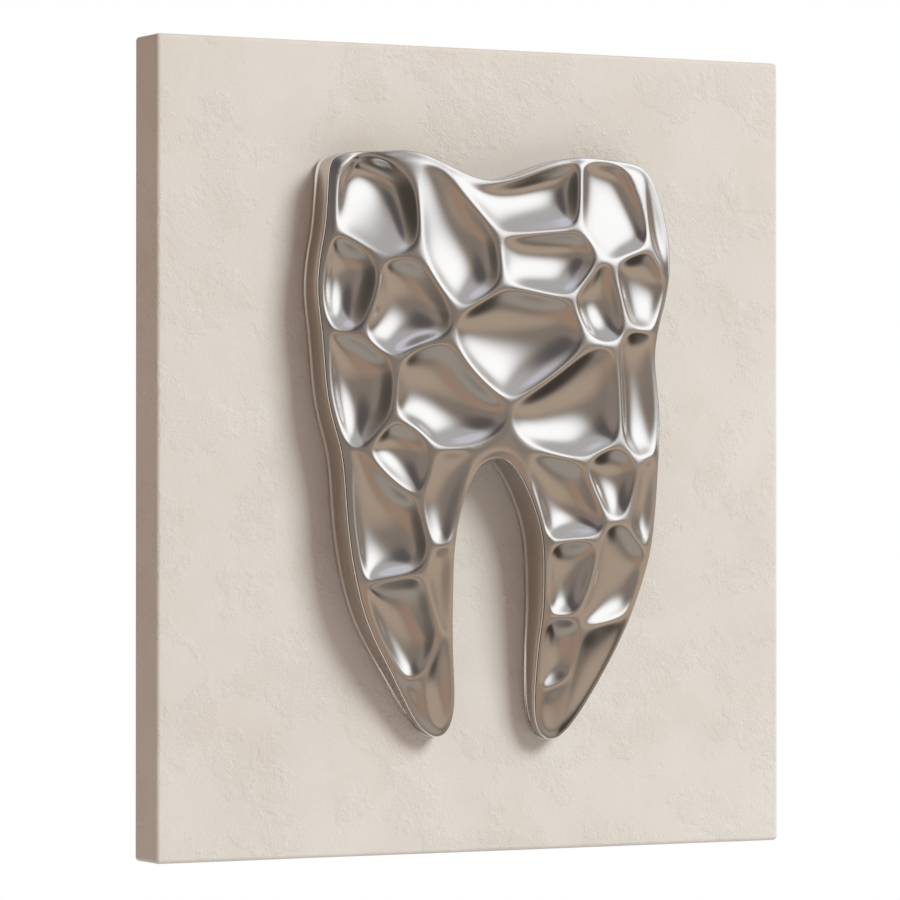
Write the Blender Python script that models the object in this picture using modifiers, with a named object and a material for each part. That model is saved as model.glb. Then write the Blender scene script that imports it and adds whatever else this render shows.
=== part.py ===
"""Wall panel with a hollow-cast metal tooth in relief.

Frame: the origin is the centre of the panel's back, on the wall. +Z is up, the front faces -Y.
Every size is in metres. The tooth is drawn on a grid of 1 mm and scaled to TOOTH_HEIGHT.
"""
import math

import bmesh
import bpy

# Panel
PANEL_WIDTH = 0.700
PANEL_HEIGHT = 0.800
PANEL_DEPTH = 0.050
PLASTER = 0.003
PLASTER_ROUND = 0.0045
PLASTER_BACK_STEP = 0.001
BOARD = 0.012
BOARD_EDGE_ROUND = 0.003
BAR_WIDTH = 0.045
CENTRE_RAIL_HEIGHT = 0.060
HANGING_RAIL_HEIGHT = 0.070
HANGING_RAIL_DEPTH = 0.018
HANGING_RAIL_DROP = 0.125
GAP = 0.0003

# Tooth
TOOTH_HEIGHT = 0.583
DRAWN_HEIGHT = 583
TOOTH_RIM = 0.006
TOOTH_LEDGE = 0.012
TOOTH_REBATE = 0.0033
TOOTH_POCKET = 0.016
BACK_PLATE = 0.0025
RIB_HALF_WIDTH = 1.4
EDGE_ROUND = 1.6
EDGE_DROP = 3.0
FOOT_BEVEL = 2.0
FOOT_RISE = 6.0
HOLLOW_REACH = 0.34
HOLLOW_INSET = 9.0
SMOOTHING_LEVELS = 1
TURNED_STEPS = 12

# Height of the rib tops over the panel: a dome over the crown that runs out in the two roots
DOME_EDGE = 40
DOME_RISE = 11
DOME_CENTRE_X = 5
DOME_HALF_SPAN = 200
ROOT_TAPER_START = -140
ROOT_TAPER = 0.2
CROWN_TAPER_START = 230
CROWN_TAPER = 0.12

# Studs that hold the tooth, at two heights on each side of the tooth's middle
STUD_RADIUS = 0.004
STUD_CHAMFER = 0.0006
STUD_CLEARANCE = 0.0005
STUD_DEPTH_IN_TOOTH = 0.010
STUD_END_Y = -0.023
STUD_CENTRE_X = 5
STUD_HALF_SPREAD = 112
STUD_HEIGHTS = (150, -90)
WASHER_RADIUS = 0.008
WASHER = 0.0016
NUT_ACROSS_FLATS = 0.013
NUT = 0.0065

# Screws: head radius, head height, shank radius, length
PLATE_SCREW = (0.0036, 0.0016, 0.0018, 0.011)
FRAME_SCREW = (0.0042, 0.0030, 0.0023, 0.080)
HANGER_SCREW = (0.0033, 0.0020, 0.0017, 0.015)
FRAME_SCREW_SPREAD = 0.011
PLATE_SCREW_SPOTS = ("T13", "T3", "L9", "R11", "L16", "R4")

# Hangers: a strap with a knuckle, and a ring that swings in it
HANGER_X = 0.200
HANGER_BELOW_TOP = 0.100
STRAP = 0.0012
STRAP_WIDTH = 0.012
STRAP_LENGTH = 0.052
STRAP_SCREWS = (0.028, 0.044)
RING_WIRE = 0.0015
RING_PLAY = 0.00035
RING_HALF_WIDTH = 0.0145
RING_LEG = 0.007
RING_DROP = 0.020
RING_CORNER = 0.003

# Front edge of the tooth, counter-clockwise from the upper left corner:
# name, x, z, height of the edge over the panel, width of the rim beside it
OUTLINE = [
    ("L0", -182, 285, 38, 7), ("L1", -184, 260, 40, 9), ("L2", -186, 236, 41, 10),
    ("L3", -188, 213, 41, 9), ("L4", -194, 186, 40, 4), ("L5", -197, 153, 40, 4),
    ("L6", -192, 118, 41, 4), ("L7", -189, 88, 41, 3), ("L8", -187, 58, 41, 3),
    ("L9", -181, 28, 42, 3), ("L10", -172, 2, 43, 5), ("L11", -168, -28, 43, 5),
    ("L12", -166, -62, 43, 5), ("L13", -162, -97, 43, 6), ("L14", -155, -131, 42, 6),
    ("L15", -146, -160, 40, 6), ("L16", -133, -187, 37, 6), ("L17", -115, -214, 33, 5),
    ("L18", -100, -238, 28, 4), ("L19", -85, -262, 24, 4), ("L20", -70, -280, 21, 3),
    ("M0", -51, -287, 20, 3), ("M1", -39, -272, 22, 3), ("M2", -38, -246, 27, 3),
    ("M3", -43, -217, 34, 3), ("M4", -48, -185, 40, 3), ("M5", -50, -150, 45, 3),
    ("M6", -51, -118, 48, 3), ("M7", -50, -90, 49, 3), ("M8", -43, -58, 50, 3),
    ("M9", -33, -33, 49, 4), ("V1", -21, -15, 47, 4), ("V2", -3, -8, 46, 4), ("V3", 13, -12, 47, 4),
    ("N0", 25, -28, 49, 4), ("N1", 36, -49, 50, 3), ("N2", 45, -73, 50, 3),
    ("N3", 49, -94, 49, 3), ("N4", 51, -130, 47, 3), ("N5", 51, -166, 44, 3),
    ("N6", 49, -192, 39, 3), ("N7", 49, -218, 34, 3), ("N8", 49, -243, 30, 3),
    ("N9", 52, -270, 25, 3), ("N10", 62, -288, 21, 3), ("N11", 79, -291, 20, 3),
    ("R1", 97, -275, 20, 3), ("R2", 115, -249, 22, 3), ("R3", 131, -222, 25, 3),
    ("R4", 146, -194, 28, 3), ("R5", 159, -165, 31, 3), ("R6", 170, -136, 33, 3),
    ("R7", 179, -106, 34, 3), ("R8", 184, -72, 34, 3), ("R9", 187, -38, 34, 3),
    ("R10", 188, -4, 34, 3), ("R11", 192, 28, 33, 3), ("R12", 189, 62, 33, 3),
    ("R13", 184, 92, 33, 3), ("R14", 188, 120, 33, 4), ("R15", 197, 143, 31, 6),
    ("R16", 203, 166, 29, 3), ("R17", 206, 197, 28, 3), ("R18", 201, 228, 28, 3),
    ("R19", 193, 255, 29, 3), ("R20", 182, 277, 31, 3), ("T1", 167, 288, 34, 3),
    ("T2", 145, 290, 37, 3), ("T3", 120, 292, 39, 3), ("T4", 96, 293, 40, 3),
    ("T5", 68, 289, 41, 7), ("T6", 42, 280, 41, 5), ("T7", 15, 269, 41, 3),
    ("T8", -13, 265, 41, 3), ("T9", -40, 274, 41, 3), ("T10", -64, 285, 41, 4),
    ("T11", -82, 291, 41, 6), ("T12", -100, 294, 41, 5), ("T13", -125, 291, 39, 3),
    ("T14", -156, 291, 38, 3),
]

# Where the ribs meet or bend inside the outline: x, z
RIB_POINTS = {
    "a": (-133, 187), "b": (-88, 190), "c": (-152, 112), "d": (-115, 86), "e": (-56, 108),
    "f": (-49, 134), "g": (2, 161), "h": (-3, 212), "i": (90, 219), "j": (114, 190),
    "k": (129, 187), "l": (80, 151), "m": (101, 106), "n": (133, 104), "o": (147, 121),
    "p": (176, 204), "q": (8, 46), "r": (9, 19), "s": (94, -12), "t": (138, 6),
    "u": (161, -13), "v": (122, -73), "w": (145, -71), "x": (111, -89), "y": (90, -166),
    "z": (96, -180), "aa": (-147, -2), "bb": (-119, 30), "cc": (-75, 0), "dd": (-89, -49),
    "ee": (-77, -95), "ff": (-85, -121), "gg": (-63, -183), "hh": (-77, -222),
    "ii": (-30, 2), "jj": (32, 1), "kk": (89, -229), "g1": (157, 269), "f1": (171, 262),
    "f2": (172, 236), "f3": (189, 187), "ab": (-88, 232), "ac": (-92, 264),
    "ad": (-158, 204), "ae": (-131, 162), "af": (-140, 137), "ag": (-73, 166),
    "ah": (-88, 102), "ai": (-24, 146), "aj": (1, 187), "ak": (24, 213), "al": (60, 217),
    "am": (-17, 229), "an": (-42, 255), "ao": (93, 247), "ap": (94, 270), "aq": (103, 208),
    "ar": (96, 168), "as": (28, 158), "at": (56, 153), "au": (137, 156), "av": (87, 132),
    "aw": (151, 196), "ax": (166, 120), "ay": (32, 57), "az": (66, 78), "ba": (-12, 59),
    "bc": (-36, 80), "bd": (-114, 58), "be": (-92, 20), "bf": (-54, 0), "bg": (62, -6),
    "bh": (136, 72), "bi": (138, 38), "bj": (116, 0), "bk": (173, -6), "bl": (101, -33),
    "bm": (112, -53), "bn": (156, -40), "bo": (158, -90), "bp": (80, -89),
    "bq": (108, -112), "br": (101, -140), "bs": (70, -166), "bt": (128, -173),
    "bu": (93, -203), "bv": (69, -237), "bw": (85, -250), "bx": (81, -270),
    "by": (-79, -25), "bz": (-108, -40), "ca": (-129, -22), "cb": (-134, 14),
    "cd": (-85, -72), "ce": (-64, -95), "cf": (-112, -125), "cg": (-137, -130),
    "ch": (-76, -152), "ci": (-69, -202), "cj": (-93, -228), "ck": (-74, -243),
    "cl": (-66, -267), "cm": (-172, 113), "cn": (-160, 1), "co": (-134, 97),
}

# The fields between the ribs: depth of the hollow, and the points round it, counter-clockwise
FIELDS = [
    (17, "T14 L0 L1 L2 L3 ad a b ab ac T12 T13"),
    (16, "T12 ac ab b ag f ai g aj h am an T10 T11"),
    (13, "L3 L4 L5 L6 cm c af ae a ad"),
    (16, "a ae af c co d ah e f ag b"),
    (16, "T10 an am h ak al i ao ap T4 T5 T6 T7 T8 T9"),
    (16, "T4 ap ao i aq j k aw p f2 g1 T2 T3"),
    (0, "T2 g1 f2 f1 T1"),
    (2, "T1 f1 f2 p f3 R16 R17 R18 R19 R20"),
    (13, "k au o ax R14 R15 R16 f3 p aw"),
    (12, "j ar l av m n o au k"),
    (13, "h aj g as at l ar j aq i al ak"),
    (18, "f e bc ba q ay az m av l at as g ai"),
    (14, "L6 L7 L8 L9 L10 cn aa cb bb bd d co c cm"),
    (17, "d bd bb be cc bf ii r q ba bc e ah"),
    (12, "bb cb aa ca bz dd by cc be"),
    (10, "cc by dd cd ee ce M7 M8 M9 ii bf"),
    (0, "ii M9 V1 V2 V3 N0 jj r"),
    (16, "q r jj bg s bj t bi bh n m az ay"),
    (11, "n bh bi t u bk R10 R11 R12 R13 R14 ax o"),
    (13, "s bl bm v w bn u t bj"),
    (13, "jj N0 N1 N2 N3 bp x v bm bl s bg"),
    (5, "u bn w bo R7 R8 R9 R10 bk"),
    (11, "v x bq br y z bt R5 R6 R7 bo w"),
    (11, "N3 N4 N5 bs y br bq x bp"),
    (3, "z bu kk bw bx N11 R1 R2 R3 R4 R5 bt"),
    (10, "N5 N6 N7 N8 bv kk bu z y bs"),
    (3, "N8 N9 N10 N11 bx bw kk bv"),
    (16, "L10 L11 L12 L13 L14 cg cf ff ee cd dd bz ca aa cn"),
    (13, "L14 L15 L16 L17 cj hh ci gg ch ff cf cg"),
    (8, "ee ff ch gg M4 M5 M6 M7 ce"),
    (6, "gg ci hh ck cl M0 M1 M2 M3 M4"),
    (1, "L17 L18 L19 L20 M0 cl ck hh cj"),
]

# Cuts across the two fields that bend round the arch and round the valley of the crown
FIELD_CUTS = (("ii", "V1"), ("r", "V2"), ("jj", "V3"), ("h", "T8"))

# Places that follow from the sizes above
UNIT = TOOTH_HEIGHT / DRAWN_HEIGHT
BOARD_FRONT = -PANEL_DEPTH + PLASTER + GAP
BOARD_BACK = BOARD_FRONT + BOARD
FRAME_FRONT = BOARD_BACK + GAP
FRAME_HALF_WIDTH = PANEL_WIDTH / 2 - PLASTER - GAP
FRAME_HALF_HEIGHT = PANEL_HEIGHT / 2 - PLASTER - GAP
RAIL_HALF_LENGTH = FRAME_HALF_WIDTH - BAR_WIDTH - GAP
HANGING_RAIL_BACK = FRAME_FRONT + HANGING_RAIL_DEPTH
HANGING_RAIL_Z = PANEL_HEIGHT / 2 - HANGING_RAIL_DROP
TOOTH_BACK = -PANEL_DEPTH - GAP
LEDGE_Y = TOOTH_BACK - TOOTH_REBATE
POCKET_Y = TOOTH_BACK - TOOTH_POCKET
PLATE_FRONT_Y = LEDGE_Y + GAP
PLATE_BACK_Y = PLATE_FRONT_Y + BACK_PLATE
KNUCKLE_BORE = RING_WIRE + RING_PLAY
KNUCKLE_RADIUS = KNUCKLE_BORE + STRAP
STRAP_BACK = HANGING_RAIL_BACK + GAP
RING_AXIS_Y = STRAP_BACK + KNUCKLE_RADIUS
RING_AXIS_Z = PANEL_HEIGHT / 2 - HANGER_BELOW_TOP
PAST = 0.002

FACES_WALL = (-math.pi / 2, 0, 0)
FACES_LEFT = (0, -math.pi / 2, 0)
FACES_RIGHT = (0, math.pi / 2, 0)
DRAWN_FROM_FRONT = (math.pi / 2, 0, 0)
DRAWN_FROM_SIDE = (math.pi / 2, 0, math.pi / 2)


def start_scene():
    for obj in list(bpy.data.objects):
        bpy.data.objects.remove(obj)
    made = []
    for name in ("tooth_sculpture", "cutters"):
        group = bpy.data.collections.new(name)
        bpy.context.scene.collection.children.link(group)
        made.append(group)
    return made


PARTS, CUTTERS = start_scene()


def principled(name, colour, roughness, metallic=0.0):
    material = bpy.data.materials.new(name)
    material.use_nodes = True
    shader = material.node_tree.nodes["Principled BSDF"]
    shader.inputs["Base Color"].default_value = (*colour, 1)
    shader.inputs["Roughness"].default_value = roughness
    shader.inputs["Metallic"].default_value = metallic
    return material


def add_part(name, data, material):
    obj = bpy.data.objects.new(name, data)
    data.materials.append(material)
    PARTS.objects.link(obj)
    return obj


def make_cutter(name, data):
    obj = bpy.data.objects.new(name, data)
    obj.display_type = 'WIRE'
    obj.hide_render = True
    CUTTERS.objects.link(obj)
    return obj


def cut(obj, cutter):
    boolean = obj.modifiers.new(cutter.name, 'BOOLEAN')
    boolean.operation = 'DIFFERENCE'
    boolean.object = cutter


def box_mesh(name, low, high, rounding=0, rounded_axis=None):
    """A box, with its edges along one axis rounded if wanted"""
    bm = bmesh.new()
    bmesh.ops.create_cube(bm, size=1)
    for v in bm.verts:
        for axis in range(3):
            middle = (low[axis] + high[axis]) / 2
            v.co[axis] = middle + v.co[axis] * (high[axis] - low[axis])
    if rounding:
        edges = [e for e in bm.edges
                 if abs(e.verts[0].co[rounded_axis] - e.verts[1].co[rounded_axis]) > rounding]
        bmesh.ops.bevel(bm, geom=edges, offset=rounding, segments=3, profile=0.5, affect='EDGES')
    mesh = bpy.data.meshes.new(name)
    bm.to_mesh(mesh)
    bm.free()
    return mesh


def cylinders_mesh(name, centres, radius, y_low, y_high, segments=20):
    """Cylinders along Y, one at each (x, z)"""
    bm = bmesh.new()
    for x, z in centres:
        made = bmesh.ops.create_cone(bm, cap_ends=True, segments=segments, radius1=radius,
                                     radius2=radius, depth=y_high - y_low)
        for v in made["verts"]:
            v.co = (x + v.co.x, (y_low + y_high) / 2 + v.co.z, z - v.co.y)
    mesh = bpy.data.meshes.new(name)
    bm.to_mesh(mesh)
    bm.free()
    return mesh


def turned_mesh(name, profile):
    mesh = bpy.data.meshes.new(name)
    mesh.from_pydata([(r, 0, z) for r, z in profile],
                     [(i, i + 1) for i in range(len(profile) - 1)], [])
    return mesh


def turn(obj):
    screw = obj.modifiers.new("turned", 'SCREW')
    screw.axis = 'Z'
    screw.steps = screw.render_steps = TURNED_STEPS
    screw.use_merge_vertices = True
    screw.merge_threshold = 0.00001
    screw.use_smooth_shade = False
    return obj


def mesh_of(source, name):
    """The evaluated shape of a curve or turned profile, welded, as a mesh in world places"""
    bpy.context.view_layer.update()
    graph = bpy.context.evaluated_depsgraph_get()
    mesh = bpy.data.meshes.new_from_object(source.evaluated_get(graph))
    mesh.transform(source.matrix_world)
    bm = bmesh.new()
    bm.from_mesh(mesh)
    bmesh.ops.remove_doubles(bm, verts=bm.verts, dist=0.00001)
    bmesh.ops.recalc_face_normals(bm, faces=bm.faces)
    bm.to_mesh(mesh)
    bm.free()
    mesh.name = name
    bpy.data.objects.remove(source)
    return mesh


def slab_mesh(name, loops, half_thickness, location, rotation):
    """A flat plate from closed loops of points, the inner ones being its holes"""
    curve = bpy.data.curves.new(name, 'CURVE')
    curve.dimensions = '2D'
    curve.fill_mode = 'BOTH'
    curve.extrude = half_thickness
    for loop in loops:
        spline = curve.splines.new('POLY')
        spline.points.add(len(loop) - 1)
        for point, (u, v) in zip(spline.points, loop):
            point.co = (u, v, 0, 1)
        spline.use_cyclic_u = True
    obj = bpy.data.objects.new(name, curve)
    obj.location = location
    obj.rotation_euler = rotation
    bpy.context.scene.collection.objects.link(obj)
    return mesh_of(obj, name)


def arc(centre, radius, start, end, count):
    """Points on an arc, in degrees, both ends among them"""
    angles = [math.radians(start + (end - start) * i / count) for i in range(count + 1)]
    return [(centre[0] + radius * math.cos(a), centre[1] + radius * math.sin(a)) for a in angles]


def circle(centre, radius, count=20):
    return arc(centre, radius, 0, 360, count)[:-1]


# Tooth casting

def rib_height(x, z):
    rise = DOME_RISE * (1 - ((x - DOME_CENTRE_X) / DOME_HALF_SPAN) ** 2)
    root = ROOT_TAPER * max(0, ROOT_TAPER_START - z)
    crown = CROWN_TAPER * max(0, z - CROWN_TAPER_START)
    return DOME_EDGE + rise - root - crown


def corner_inset(before, here, after, width_in, width_out):
    """How far a corner moves when its two sides move inwards by their own widths"""
    ax, az = here[0] - before[0], here[1] - before[1]
    bx, bz = after[0] - here[0], after[1] - here[1]
    length_a, length_b = math.hypot(ax, az), math.hypot(bx, bz)
    side_a = (-az / length_a, ax / length_a)
    side_b = (-bz / length_b, bx / length_b)
    turn_sine = side_a[0] * side_b[1] - side_a[1] * side_b[0]
    widest = max(width_in, width_out)
    if abs(turn_sine) < 0.15:
        sum_x, sum_z = side_a[0] + side_b[0], side_a[1] + side_b[1]
        scale = (width_in + width_out) / 2 / math.hypot(sum_x, sum_z)
        return sum_x * scale, sum_z * scale
    dx = (width_in * side_b[1] - width_out * side_a[1]) / turn_sine
    dz = (side_a[0] * width_out - side_b[0] * width_in) / turn_sine
    scale = min(1, 2.2 * widest / math.hypot(dx, dz))
    return dx * scale, dz * scale


class ToothCage:
    """Coarse closed cage of the casting: ribs, hollows, side wall and flat back"""

    def __init__(self):
        self.bm = bmesh.new()
        self.place = {name: (x, z) for name, x, z, height, rim in OUTLINE}
        self.height = {name: height for name, x, z, height, rim in OUTLINE}
        self.rim = {name: rim for name, x, z, height, rim in OUTLINE}
        self.ring = [row[0] for row in OUTLINE]
        self.after = dict(zip(self.ring, self.ring[1:] + self.ring[:1]))
        for name, (x, z) in RIB_POINTS.items():
            self.place[name] = (x, z)
            self.height[name] = rib_height(x, z)
        self.lips = {}
        self.floors = {}
        self.owners = {}
        self.fields_at = {}

    def vertex(self, x, z, height):
        return self.bm.verts.new((x * UNIT, TOOTH_BACK - height * UNIT, z * UNIT))

    def side_width(self, start, end):
        if self.after.get(start) == end:
            return (self.rim[start] + self.rim[end]) / 2
        return RIB_HALF_WIDTH

    def add_wall_rings(self):
        self.wall = {name: [] for name in self.ring}
        for i, name in enumerate(self.ring):
            x, z = self.place[name]
            before, after = self.place[self.ring[i - 1]], self.place[self.after[name]]
            edge_x, edge_z = corner_inset(before, (x, z), after, EDGE_ROUND, EDGE_ROUND)
            foot_x, foot_z = corner_inset(before, (x, z), after, FOOT_BEVEL, FOOT_BEVEL)
            self.wall[name] = [
                self.vertex(x + edge_x, z + edge_z, self.height[name]),
                self.vertex(x, z, self.height[name] - EDGE_DROP),
                self.vertex(x, z, FOOT_RISE),
                self.vertex(x + foot_x, z + foot_z, 0),
            ]
        self.back = {name: rings[-1] for name, rings in self.wall.items()}
        for name in RIB_POINTS:
            self.back[name] = self.vertex(*self.place[name], 0)

    def add_field(self, index, depth, names):
        count = len(names)
        lip = []
        for i, name in enumerate(names):
            before, after = names[i - 1], names[(i + 1) % count]
            dx, dz = corner_inset(self.place[before], self.place[name], self.place[after],
                                  self.side_width(before, name), self.side_width(name, after))
            x, z = self.place[name]
            lip.append((x + dx, z + dz, self.height[name]))
            self.owners[name, after] = index
            self.fields_at.setdefault(name, []).append(index)
        rim = [self.vertex(*point) for point in lip]
        for name, vertex in zip(names, rim):
            self.lips[index, name] = vertex
        self.bm.faces.new([self.back[name] for name in reversed(names)])
        floor = self.add_hollow(depth, lip, rim) if depth else rim
        self.bm.faces.new(floor)
        for name, vertex in zip(names, floor):
            self.floors[index, name] = vertex

    def add_hollow(self, depth, lip, rim):
        """Wall of a hollow, from the lip of the field down to its floor, and the floor's corners"""
        count = len(lip)
        centre_x = sum(point[0] for point in lip) / count
        centre_z = sum(point[1] for point in lip) / count
        floor = []
        for x, z, height in lip:
            dx, dz = centre_x - x, centre_z - z
            reach = math.hypot(dx, dz)
            step = min(HOLLOW_REACH * reach, HOLLOW_INSET) / reach
            floor.append(self.vertex(x + dx * step, z + dz * step, height - depth))
        for i in range(count):
            k = (i + 1) % count
            self.bm.faces.new((rim[i], rim[k], floor[k], floor[i]))
        return floor

    def add_sides(self):
        """Joins each side of a field to the rib, or to the outer wall, beyond it"""
        for (start, end), index in self.owners.items():
            near = (self.lips[index, end], self.lips[index, start])
            if self.after.get(start) == end:
                inner, outer = self.wall[start], self.wall[end]
                self.bm.faces.new((*near, inner[0], outer[0]))
                for level in range(len(inner) - 1):
                    self.bm.faces.new((outer[level], inner[level],
                                       inner[level + 1], outer[level + 1]))
            elif start < end:
                other = self.owners[end, start]
                self.bm.faces.new((*near, self.lips[other, start], self.lips[other, end]))

    def add_corners(self):
        """Fills the patch where three or more fields meet"""
        for name, fields in self.fields_at.items():
            corners = [self.lips[index, name] for index in fields]
            if name in self.wall and len(fields) > 1:
                corners.append(self.wall[name][0])
            if len(corners) < 3:
                continue
            middle_x = sum(v.co.x for v in corners) / len(corners)
            middle_z = sum(v.co.z for v in corners) / len(corners)
            corners.sort(key=lambda v: math.atan2(v.co.z - middle_z, v.co.x - middle_x))
            self.bm.faces.new(corners)

    def split_fields(self):
        for start, end in FIELD_CUTS:
            index = (set(self.fields_at[start]) & set(self.fields_at[end])).pop()
            for ends in ((self.floors[index, start], self.floors[index, end]),
                         (self.back[start], self.back[end])):
                bmesh.ops.connect_verts(self.bm, verts=ends)

    def mesh(self, name):
        self.add_wall_rings()
        for index, (depth, names) in enumerate(FIELDS):
            self.add_field(index, depth, names.split())
        self.add_sides()
        self.add_corners()
        self.split_fields()
        crease = self.bm.edges.layers.float.new("crease_edge")
        for name_a, name_b in self.after.items():
            self.bm.edges.get((self.back[name_a], self.back[name_b]))[crease] = 1.0
        mesh = bpy.data.meshes.new(name)
        self.bm.to_mesh(mesh)
        self.bm.free()
        return mesh


def inset_outline(distance, lowest=-250):
    """The tooth's outline moved inwards, with the root tips left off"""
    spots = [(name, x, z) for name, x, z, height, rim in OUTLINE if z > lowest]
    inset = {}
    drawn = distance / UNIT
    for i, (name, x, z) in enumerate(spots):
        before, after = spots[i - 1][1:], spots[(i + 1) % len(spots)][1:]
        dx, dz = corner_inset(before, (x, z), after, drawn, drawn)
        inset[name] = ((x + dx) * UNIT, (z + dz) * UNIT)
    return inset


def stud_spots():
    return [((STUD_CENTRE_X + side * STUD_HALF_SPREAD) * UNIT, z * UNIT)
            for z in STUD_HEIGHTS for side in (-1, 1)]


# Screws and other turned pieces

def flat_head(size, grow=0.0, above=0.0):
    """Profile of a countersunk screw, its head's face at zero and its shank downwards"""
    head, head_height, shank, length = size
    return [(0, above), (head + grow, above), (head + grow, -0.0003 - grow),
            (shank + grow, -head_height - grow), (shank + grow, -length + shank),
            (0.35 * shank + grow, -length - grow), (0, -length - grow)]


def pan_head(size, grow=0.0):
    """Profile of a pan-head screw, the underside of its head at zero"""
    head, head_height, shank, length = size
    return [(0, head_height), (0.62 * head, 0.94 * head_height), (head, 0.5 * head_height), (head, 0),
            (shank + grow, 0), (shank + grow, -length + shank), (0.35 * shank + grow, -length - grow),
            (0, -length - grow)]


def add_screw(name, profile, location, rotation, material):
    obj = turn(add_part(name, turned_mesh(name, profile), material))
    obj.location = location
    obj.rotation_euler = rotation
    return obj


def screw_bore(name, profile, location, rotation):
    obj = turn(make_cutter(name, turned_mesh(name, profile)))
    obj.location = location
    obj.rotation_euler = rotation
    return obj


def build_panel(plaster, board, timber):
    half_width, half_height = PANEL_WIDTH / 2, PANEL_HEIGHT / 2
    mesh = box_mesh("plaster_coat", (-half_width, -PANEL_DEPTH, -half_height),
                    (half_width, -PLASTER_BACK_STEP, half_height))
    bm = bmesh.new()
    bm.from_mesh(mesh)
    open_side = [f for f in bm.faces if f.normal.y > 0.5]
    bmesh.ops.delete(bm, geom=open_side, context='FACES')
    bm.to_mesh(mesh)
    bm.free()
    coat = add_part("plaster_coat", mesh, plaster)
    bevel = coat.modifiers.new("rounded", 'BEVEL')
    bevel.width = PLASTER_ROUND
    bevel.segments = 3
    thicken = coat.modifiers.new("thickness", 'SOLIDIFY')
    thicken.thickness = PLASTER
    thicken.offset = -1
    thicken.use_even_offset = True

    face = add_part("face_board", box_mesh(
        "face_board", (-FRAME_HALF_WIDTH, BOARD_FRONT, -FRAME_HALF_HEIGHT),
        (FRAME_HALF_WIDTH, BOARD_BACK, FRAME_HALF_HEIGHT), BOARD_EDGE_ROUND, 1), board)
    face_edge = face.modifiers.new("front_edge", 'BEVEL')
    face_edge.width = BOARD_EDGE_ROUND / 2
    face_edge.segments = 1
    face_edge.limit_method = 'ANGLE'
    face_edge.angle_limit = math.radians(60)

    bars = {}
    for side, name in ((-1, "left_stile"), (1, "right_stile")):
        outer, inner = side * FRAME_HALF_WIDTH, side * (FRAME_HALF_WIDTH - BAR_WIDTH)
        low, high = min(outer, inner), max(outer, inner)
        bars[name] = add_part(name, box_mesh(name, (low, FRAME_FRONT, -FRAME_HALF_HEIGHT),
                                             (high, 0, FRAME_HALF_HEIGHT)), timber)
        corner = bars[name].modifiers.new("eased", 'BEVEL')
        corner.width = BOARD_EDGE_ROUND
        corner.segments = 2
        corner.limit_method = 'WEIGHT'
        weight = bars[name].data.attributes.new("bevel_weight_edge", 'FLOAT', 'EDGE')
        for edge in bars[name].data.edges:
            ends = [bars[name].data.vertices[i].co for i in edge.vertices]
            along_y = abs(ends[0].y - ends[1].y) > 0.001
            weight.data[edge.index].value = float(along_y and abs(ends[0].x - outer) < 0.001)
    rails = {
        "top_rail": (FRAME_HALF_HEIGHT - BAR_WIDTH / 2, BAR_WIDTH, 0),
        "bottom_rail": (-FRAME_HALF_HEIGHT + BAR_WIDTH / 2, BAR_WIDTH, 0),
        "centre_rail": (0, CENTRE_RAIL_HEIGHT, 0),
        "hanging_rail": (HANGING_RAIL_Z, HANGING_RAIL_HEIGHT, HANGING_RAIL_BACK),
    }
    for name, (z, height, back) in rails.items():
        bars[name] = add_part(name, box_mesh(
            name, (-RAIL_HALF_LENGTH, FRAME_FRONT, z - height / 2),
            (RAIL_HALF_LENGTH, back, z + height / 2)), timber)
    return coat, face, bars, rails


def add_frame_screws(bars, rails, steel):
    """Screws through the stiles into the rail ends: two at each, one above the other"""
    number = 0
    for rail, (z, height, back) in rails.items():
        y = (FRAME_FRONT + back) / 2
        for side, stile, rotation in ((-1, "left_stile", FACES_LEFT), (1, "right_stile", FACES_RIGHT)):
            heights = (z - FRAME_SCREW_SPREAD, z + FRAME_SCREW_SPREAD)
            if rail in ("centre_rail", "hanging_rail"):
                heights = (z,)
            for screw_z in heights:
                number += 1
                location = (side * (FRAME_HALF_WIDTH - GAP), y, screw_z)
                name = f"frame_screw_{number}"
                add_screw(name, flat_head(FRAME_SCREW), location, rotation, steel)
                bore = screw_bore(name + "_bore", flat_head(FRAME_SCREW, GAP, PAST), location, rotation)
                cut(bars[stile], bore)
                cut(bars[rail], bore)


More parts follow.
